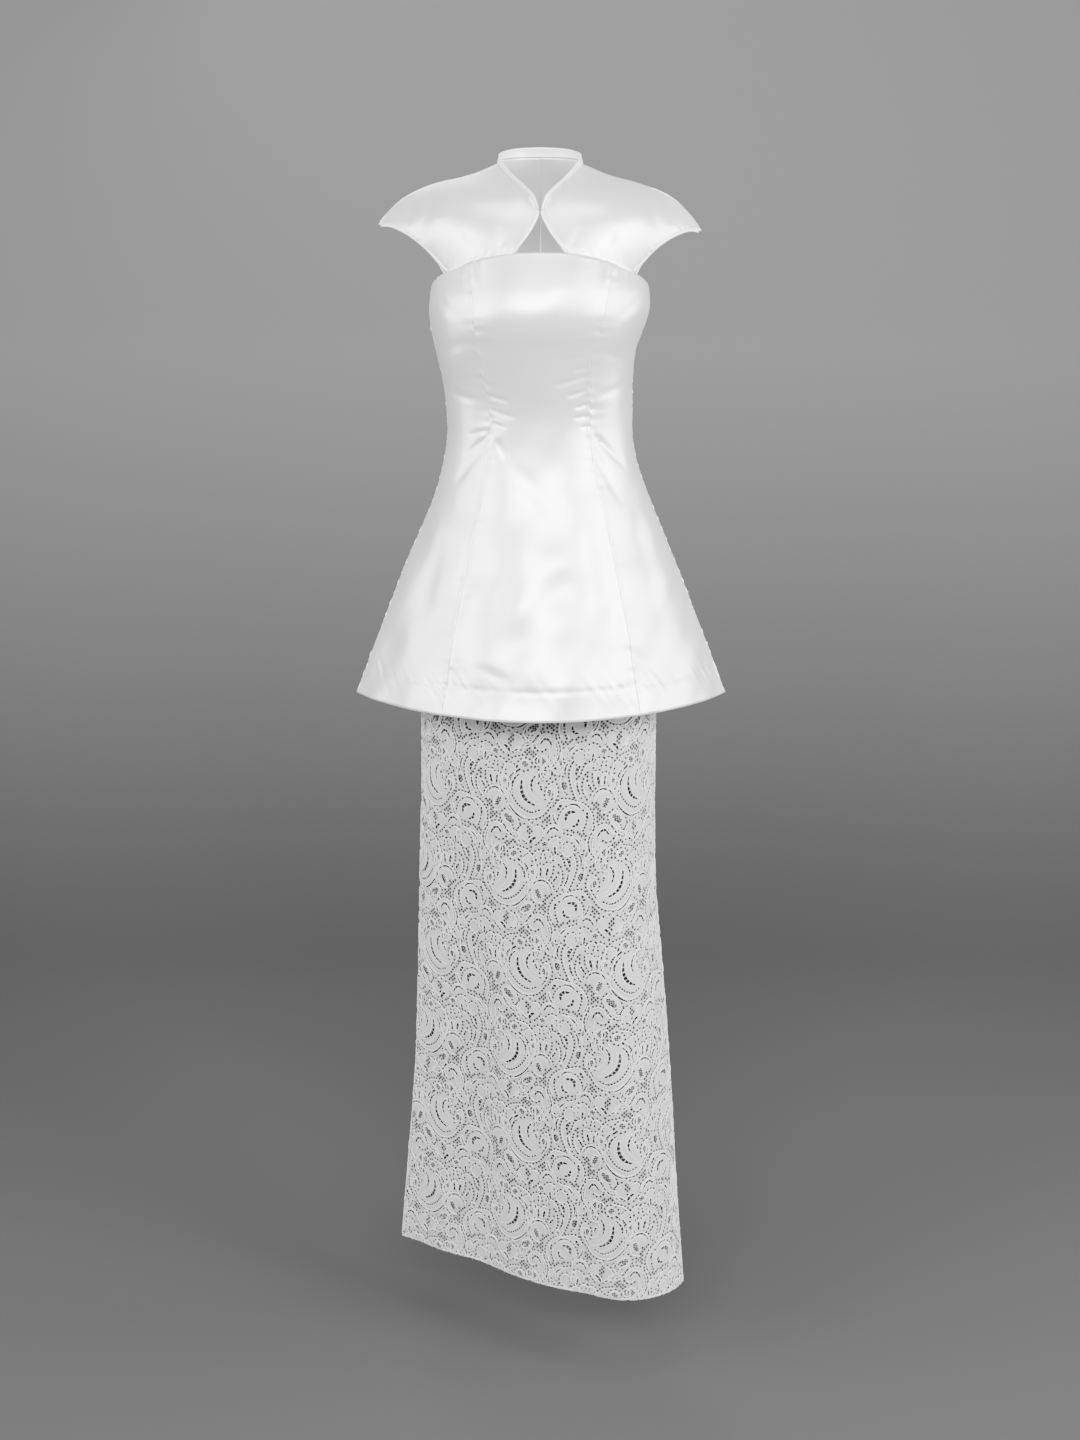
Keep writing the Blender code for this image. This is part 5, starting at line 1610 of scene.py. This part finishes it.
def lace_tile():
    """Points, triangles and fill of one repeat, in millimetres."""
    low = np.array([0.0, -REPEAT_HEIGHT])
    high = low + (REPEAT_WIDTH, REPEAT_HEIGHT)
    outer_low, outer_high = low - TILE_MARGIN, high + TILE_MARGIN
    outlines = [anticlockwise(line) for line in neighbours(holes, outer_low, outer_high)]
    corners = [outer_low, (outer_high[0], outer_low[1]), outer_high, (outer_low[0], outer_high[1])]
    edge_points = np.concatenate(outlines)
    inner = inner_points(outer_low, outer_high)
    near = np.array([((edge_points - spot) ** 2).sum(axis=1).min() for spot in inner])
    inner = inner[near > GRID_CLEAR**2]
    points = [Vector(corner) for corner in corners]
    faces = [[0, 1, 2, 3]]
    for outline in outlines:
        faces.append(list(range(len(points), len(points) + len(outline))))
        points += [Vector(p) for p in outline]
    points += [Vector(p) for p in inner]
    flat, _, triangles, _, _, face_from = delaunay_2d_cdt(points, [], faces, 1, 1e-6)
    flat = np.array([tuple(p) for p in flat])
    kept = np.array([t for t, origin in zip(triangles, face_from) if list(origin) == [0]])
    middle = flat[kept].mean(axis=1)
    kept = kept[((middle >= low) & (middle < high)).all(axis=1)]
    used, kept = np.unique(kept, return_inverse=True)
    return flat[used], kept.reshape(-1, 3), motif_fill(flat[used])


tile_points, tile_triangles, tile_fill = lace_tile()
print("triangles in one repeat:", len(tile_triangles))

# %% Tiles laid and trimmed
LACE_DRAPES = (
    Crease(-0.072, -0.780, -0.080, -1.320, 0.022, -0.0030),
    Crease(-0.125, -0.700, -0.132, -1.320, 0.022, 0.0022),
    Crease(-0.028, -0.900, -0.030, -1.320, 0.018, 0.0016),
    Crease(0.015, -0.760, 0.022, -1.240, 0.020, -0.0018),
    Crease(0.066, -0.700, 0.078, -1.325, 0.013, -0.0028),
    Crease(0.108, -0.620, 0.122, -1.325, 0.020, 0.0030),
    Crease(-0.050, -0.600, -0.058, -0.720, 0.016, -0.0020),
    Crease(0.050, -0.590, 0.046, -0.700, 0.016, -0.0018),
)
PAD_HEIGHT = 0.00060
MERGE = 1e-6
MIN_AREA = 2e-9


def tile_places(half):
    """The shift of every tile that comes over one half of the skirt, in metres."""
    width, height = REPEAT_WIDTH * MM, REPEAT_HEIGHT * MM
    columns = range(int(np.floor(half.left.min() / width)) - 1, int(np.ceil(half.right.max() / width)) + 1)
    rows = range(int(-SKIRT_HEM_Z / height) + 2)
    return np.array([(i * width, -j * height) for i in columns for j in rows])


def laid_lace(half, low, high):
    """Flat points, triangles and fill of the lace between two heights and the half's two edges."""
    shifts = tile_places(half)
    points = (tile_points * MM)[None] + shifts[:, None]
    count = len(tile_points)
    triangles = tile_triangles[None] + (np.arange(len(shifts)) * count)[:, None, None]
    points, triangles = points.reshape(-1, 2), triangles.reshape(-1, 3)
    fill = np.tile(tile_fill, len(shifts))
    left, right = half.edges(points[:, 1])
    left, right = left + SEAM_GAP / 2, right - SEAM_GAP / 2
    outside = np.stack(
        [points[:, 0] <= left, points[:, 0] >= right, points[:, 1] <= low, points[:, 1] >= high], axis=1
    )
    triangles = triangles[~outside[triangles].all(axis=1).any(axis=1)]
    points[:, 1] = np.clip(points[:, 1], low, high)
    left, right = half.edges(points[:, 1])
    points[:, 0] = np.clip(points[:, 0], left + SEAM_GAP / 2, right - SEAM_GAP / 2)
    places = np.round(points / MERGE).astype(np.int64)
    _, first, back = np.unique(places, axis=0, return_index=True, return_inverse=True)
    points, fill, triangles = points[first], fill[first], back.reshape(-1)[triangles]
    a, b, c = (points[triangles[:, k]] for k in range(3))
    area = (b - a)[:, 0] * (c - a)[:, 1] - (b - a)[:, 1] * (c - a)[:, 0]
    triangles = triangles[area > MIN_AREA]
    used, triangles = np.unique(triangles, return_inverse=True)
    return points[used], triangles.reshape(-1, 3), fill[used]


def draped(half, across, z, height):
    """Points over the skirt at a height above its smooth form, with the soft upright folds added."""
    surface, normal = half.lift(across, z)
    left, right = half.edges(z)
    inner = smooth_step((across - left) / 0.02) * smooth_step((right - across) / 0.02)
    folds = crease_height(LACE_DRAPES, across, z) * inner
    return surface + normal * (height + folds)[:, None]


def build_lace(name, half):
    points, triangles, fill = laid_lace(half, SKIRT_HEM_Z, WAISTBAND_BOTTOM_Z - SEAM_GAP)
    shape = draped(half, points[:, 0], points[:, 1], PAD_HEIGHT * fill)
    piece = add_mesh(name + "_cloth", shape, triangles, points, MATERIALS["lace"])
    kept_fill = piece.data.attributes.new("fill", "FLOAT", "POINT")
    kept_fill.data.foreach_set("value", fill.astype(np.float32))
    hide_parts(name)
    print(piece.name, "triangles:", len(triangles))
    return piece


front_half = FlatTube(skirt_point, (WAISTBAND_BOTTOM_Z, SKIRT_HEM_Z), 0.0, 90.0, 60, 121)
back_half = FlatTube(skirt_point, (WAISTBAND_BOTTOM_Z, SKIRT_HEM_Z), 180.0, 90.0, 60, 121)
lace_front = build_lace("skirt_lace_front", front_half)
lace_back = build_lace("skirt_lace_back", back_half)

# %% [markdown]
# What makes this lace stand out is its cord: a fat, pale thread couched along every motif and round
# every gap. All the cords of a repeat are small three-sided tubes in flat space, laid and wrapped
# with the same tiles as the cloth, and sunk a little into it.

# %% Cords on the lace
CORD_SUNK = 0.00012


def cord_template():
    """Flat places, heights and quads of every cord in one repeat, in metres."""
    lines = [(gap_outline(gap), True) for gap in LACE_GAPS]
    lines += [(net_rim(net), True) for net in LACE_NETS]
    lines += [(np.array(cord.points, float), False) for cord in LACE_CORDS]
    flats, heights, quads, start = [], [], [], 0
    turn = np.arange(CORD_SIDES) * 2 * np.pi / CORD_SIDES
    for line, closed in lines:
        for half in both_halves(line):
            centre = even_line(half, closed, CORD_STEP)
            if closed:
                run = unit(np.roll(centre, -1, axis=0) - np.roll(centre, 1, axis=0))
            else:
                run = unit(np.gradient(centre, axis=0))
            across = sideways(run)
            side = across[:, None] * CORD_WIDE * np.cos(turn)[None, :, None]
            flats.append((centre[:, None] + side) * MM)
            heights.append(np.tile(np.sin(turn) * CORD_HIGH, (len(centre), 1)) * MM)
            rows = len(centre)
            faces = grid_faces(rows, CORD_SIDES, wrap=True)
            if closed:
                last = np.arange(CORD_SIDES) + (rows - 1) * CORD_SIDES
                first = np.arange(CORD_SIDES)
                join = np.stack([last, first, np.roll(first, -1), np.roll(last, -1)], axis=1)
                faces = np.concatenate([faces, join])
            quads.append(faces + start)
            start += rows * CORD_SIDES
    return (
        np.concatenate([f.reshape(-1, 2) for f in flats]),
        np.concatenate([h.ravel() for h in heights]),
        np.concatenate(quads),
    )


cord_flat, cord_height, cord_quads = cord_template()


def build_cords(name, half):
    shifts = tile_places(half)
    flat = (cord_flat[None] + shifts[:, None]).reshape(-1, 2)
    height = np.tile(cord_height, len(shifts)) - CORD_SUNK
    quads = (cord_quads[None] + (np.arange(len(shifts)) * len(cord_flat))[:, None, None]).reshape(-1, 4)
    left, right = half.edges(flat[:, 1])
    inside = (flat[:, 0] > left) & (flat[:, 0] < right)
    inside &= (flat[:, 1] > SKIRT_HEM_Z) & (flat[:, 1] < WAISTBAND_BOTTOM_Z - SEAM_GAP)
    quads = quads[inside[quads].all(axis=1)]
    used, quads = np.unique(quads, return_inverse=True)
    flat, height, quads = flat[used], height[used], quads.reshape(-1, 4)
    shape = draped(half, flat[:, 0], flat[:, 1], height + PAD_HEIGHT / 2)
    piece = add_mesh(name, shape, quads[:, ::-1], flat, MATERIALS["lace_cord"])
    print(name, "quads:", len(quads))
    return piece


cords_front = build_cords("lace_cords_front", front_half)
cords_back = build_cords("lace_cords_back", back_half)

# %% [markdown]
# The lace's edges are finished: a thin corded hem, whose cut threads stand out as tiny ends, and a
# narrow closed seam down each side.

# %% Hem cord and side seams of the skirt
HEM_CORD = 0.0009
HEM_CORD_LIFT = 0.0004
HEM_CORD_WAVE = 0.0006
HEM_CORD_SUNK = 0.0002
SIDE_SEAM_WIDE = 0.0017
SIDE_SEAM_DEEP = 0.0007
SIDE_SEAM_SUNK = 0.0003
SIDE_SEAM_ROWS = 260
HEM_ROWS = 420
END_PITCH = 0.0036
END_LONG = 0.0034
END_WIDE = 0.00022


def build_hem_cord(name, half):
    left, right = half.edges(np.array([SKIRT_HEM_Z]))
    across = np.linspace(left[0] + 0.0006, right[0] - 0.0006, HEM_ROWS)
    z = SKIRT_HEM_Z + HEM_CORD + HEM_CORD_LIFT + np.abs(HEM_CORD_WAVE * ripple(across, 0.019, 1.1))
    _, up = half.lift(across, z)
    line = draped(half, across, z, 0 * z - HEM_CORD_SUNK)
    wide_way = unit(np.cross(np.gradient(line, axis=0), up))
    piece = oval_tube(name, line, wide_way, up, MATERIALS["lace_cord"], HEM_CORD, HEM_CORD * 0.8, 0.10)
    return piece


def build_hem_ends(name, half):
    """Cut threads below the hem cord: thin three-sided spikes, unlike in length and lean."""
    left, right = half.edges(np.array([SKIRT_HEM_Z]))
    count = int((right[0] - left[0]) / END_PITCH)
    k = np.arange(count)
    across = np.linspace(left[0] + 0.002, right[0] - 0.002, count) + 0.0008 * np.sin(5.3 * k)
    length = END_LONG * np.clip(np.sin(2.9 * k) * np.sin(0.83 * k + 1) + 0.25, 0.05, 1)
    tip = np.stack([across + 0.0007 * np.sin(1.7 * k), SKIRT_HEM_Z - length], axis=1)
    foot = np.stack([across, 0 * across + SKIRT_HEM_Z + 0.0008], axis=1)
    corners = [foot - (END_WIDE, 0), foot + (END_WIDE, 0), foot, tip]
    heights = [0.0, 0.0, 2 * END_WIDE, 0.0003]
    points = [
        draped(half, corner[:, 0], np.maximum(corner[:, 1], SKIRT_HEM_Z), height + 0 * k)
        for corner, height in zip(corners, heights)
    ]
    points = np.stack(points)
    points[3, :, 2] = tip[:, 1]
    faces = np.array([(0, 1, 3), (1, 2, 3), (2, 0, 3), (0, 2, 1)])
    index = np.arange(4 * count).reshape(4, count)
    triangles = np.concatenate([np.stack([index[a], index[b], index[c]], axis=1) for a, b, c in faces])
    flat = np.concatenate(corners)
    piece = add_mesh(name, points.reshape(-1, 3), triangles, flat, MATERIALS["lace_cord"])
    return piece


def build_side_seam(name, angle):
    z = np.linspace(WAISTBAND_BOTTOM_Z - 0.001, SKIRT_HEM_Z + 0.001, SIDE_SEAM_ROWS)
    up = tube_normal(skirt_point, z, angle + 0 * z)
    line = skirt_point(z, angle + 0 * z) - up * SIDE_SEAM_SUNK
    wide_way = unit(np.cross(np.gradient(line, axis=0), up))
    piece = oval_tube(name, line, wide_way, up, MATERIALS["lace_cord"], SIDE_SEAM_WIDE, SIDE_SEAM_DEEP, 0.08)
    return piece


hem_front = build_hem_cord("lace_hem_front", front_half)
hem_back = build_hem_cord("lace_hem_back", back_half)
ends_front = build_hem_ends("lace_hem_ends_front", front_half)
ends_back = build_hem_ends("lace_hem_ends_back", back_half)
side_seam_left = build_side_seam("lace_seam_left", 90.0)
side_seam_right = build_side_seam("lace_seam_right", -90.0)

# %% [markdown]
# The set hangs in the air above grey paper that bends up into a wall. The paper has painted shade: it
# is darker on the floor and paler above. The paper is clear from behind, so that the back of the set
# can be seen too. Soft lights stand in front, to both sides and above, stronger on the right, with a
# weak one behind and a little light from all round, as in a studio.

# %% Floor and backdrop
FLOOR_Z = -1.45
FLOOR_HALF = 4.0
FLOOR_FRONT = -6.0
PAPER_ROUGH = 0.9
BACKDROP_Y = 2.6
BACKDROP_BEND = 1.2
BACKDROP_TOP = 3.4
# painted shade: the paper's colour on the floor, paler up the wall over the rise below
PAPER_SHADED_FLOOR = 0.047
PAPER_HIGH = 0.155
PAPER_SHADE_RISE = 1.1


def paper_material():
    """Grey paper with painted shade, darker on the floor than on the wall, that is clear when seen from
    behind.
    """
    paper = bpy.data.materials.new("paper")
    paper.use_nodes = True
    nodes, links = paper.node_tree.nodes, paper.node_tree.links
    place = nodes.new("ShaderNodeTexCoord")
    parts = nodes.new("ShaderNodeSeparateXYZ")
    level = nodes.new("ShaderNodeMapRange")
    level.inputs["From Min"].default_value = FLOOR_Z
    level.inputs["From Max"].default_value = FLOOR_Z + PAPER_SHADE_RISE
    level.inputs["To Min"].default_value = PAPER_SHADED_FLOOR
    level.inputs["To Max"].default_value = PAPER_HIGH
    shader = nodes["Principled BSDF"]
    shader.inputs["Roughness"].default_value = PAPER_ROUGH
    links.new(place.outputs["Object"], parts.inputs["Vector"])
    links.new(parts.outputs["Z"], level.inputs["Value"])
    links.new(level.outputs["Result"], shader.inputs["Base Color"])
    geometry = nodes.new("ShaderNodeNewGeometry")
    sides = nodes.new("ShaderNodeMixShader")
    links.new(geometry.outputs["Backfacing"], sides.inputs["Fac"])
    links.new(shader.outputs["BSDF"], sides.inputs[1])
    links.new(nodes.new("ShaderNodeBsdfTransparent").outputs["BSDF"], sides.inputs[2])
    links.new(sides.outputs["Shader"], nodes["Material Output"].inputs["Surface"])
    return paper


def build_floor():
    """A floor that bends up into a backdrop: a straight run, a quarter circle and a straight rise."""
    turn = np.linspace(0, np.pi / 2, 24)
    run_y = np.linspace(FLOOR_FRONT, BACKDROP_Y - BACKDROP_BEND, 12)
    bend_y = BACKDROP_Y - BACKDROP_BEND + BACKDROP_BEND * np.sin(turn)
    bend_z = FLOOR_Z + BACKDROP_BEND * (1 - np.cos(turn))
    rise_z = np.linspace(FLOOR_Z + BACKDROP_BEND, FLOOR_Z + BACKDROP_TOP, 6)[1:]
    y = np.concatenate([run_y, bend_y[1:], np.full(5, BACKDROP_Y)])
    z = np.concatenate([np.full(12, FLOOR_Z), bend_z[1:], rise_z])
    x = np.linspace(-FLOOR_HALF, FLOOR_HALF, 12)
    grid = np.stack([x[None] + 0 * y[:, None], y[:, None] + 0 * x, z[:, None] + 0 * x], axis=-1)
    mesh = bpy.data.meshes.new("floor")
    mesh.from_pydata(grid.reshape(-1, 3).tolist(), [], grid_faces(len(y), 12)[:, ::-1].tolist())
    mesh.shade_smooth()
    floor = bpy.data.objects.new("floor", mesh)
    bpy.context.scene.collection.objects.link(floor)
    mesh.materials.append(paper_material())


build_floor()

# %% Light
Lamp = namedtuple("Lamp", "name place aim wide high power")
LAMPS = (
    Lamp("front", (0.0, -2.9, 0.85), (0.0, 0.0, -0.40), 2.4, 0.7, 190.0),
    Lamp("front_left", (-2.3, -1.7, 0.40), (0.0, 0.0, -0.50), 1.4, 1.8, 95.0),
    Lamp("front_right", (2.3, -1.7, 0.50), (0.0, 0.0, -0.50), 1.4, 1.8, 175.0),
    Lamp("high", (0.0, -0.9, 2.2), (0.0, 0.0, -0.20), 1.5, 1.2, 60.0),
    Lamp("far_right", (2.8, -0.3, -0.1), (0.0, 0.0, -0.80), 1.2, 1.6, 75.0),
    Lamp("far_left", (-2.8, -0.3, -0.1), (0.0, 0.0, -0.80), 1.2, 1.6, 40.0),
    Lamp("behind", (-0.8, 2.1, 1.2), (0.0, 0.0, -0.50), 1.2, 1.2, 24.0),
)
WORLD_LIGHT = 0.14


def add_lamp(lamp):
    data = bpy.data.lights.new(lamp.name, "AREA")
    data.shape = "RECTANGLE"
    data.size = lamp.wide
    data.size_y = lamp.high
    data.energy = lamp.power
    light = bpy.data.objects.new(lamp.name, data)
    light.location = lamp.place
    light.rotation_euler = (Vector(lamp.aim) - Vector(lamp.place)).to_track_quat("-Z", "Y").to_euler()
    bpy.context.scene.collection.objects.link(light)


for lamp in LAMPS:
    add_lamp(lamp)

world = bpy.data.worlds.new("studio")
world.use_nodes = True
world.node_tree.nodes["Background"].inputs["Color"].default_value = (1.0, 1.0, 1.0, 1.0)
world.node_tree.nodes["Background"].inputs["Strength"].default_value = WORLD_LIGHT
bpy.context.scene.world = world

# %% [markdown]
# Last, the size that every piece of cloth was cut to is printed.

# %% The cut of each piece
for panel in PANELS:
    piece, smooth = panel_pieces[panel.name]
    side_name = "right" if panel.name.endswith("right") else "left"
    cut_sheet(piece, smooth)
for (part, side), (piece, grid, _) in yoke.items():
    cut_sheet(piece, grid)
cut_sheet(collar, collar_form)
cut_sheet(waistband, waistband_form)
cut_sheet(lining_front, lining_front_form)
cut_sheet(lining_back, lining_back_form)
for piece, half, extras in (
    (lace_front, front_half, [cords_front, hem_front, ends_front, side_seam_left]),
    (lace_back, back_half, [cords_back, hem_back, ends_back, side_seam_right]),
):
    z = np.linspace(WAISTBAND_BOTTOM_Z, SKIRT_HEM_Z, 90)[:, None]
    angle = half.angle[None]
    cut_sheet(piece, skirt_point(z + 0 * angle, angle + 0 * z))
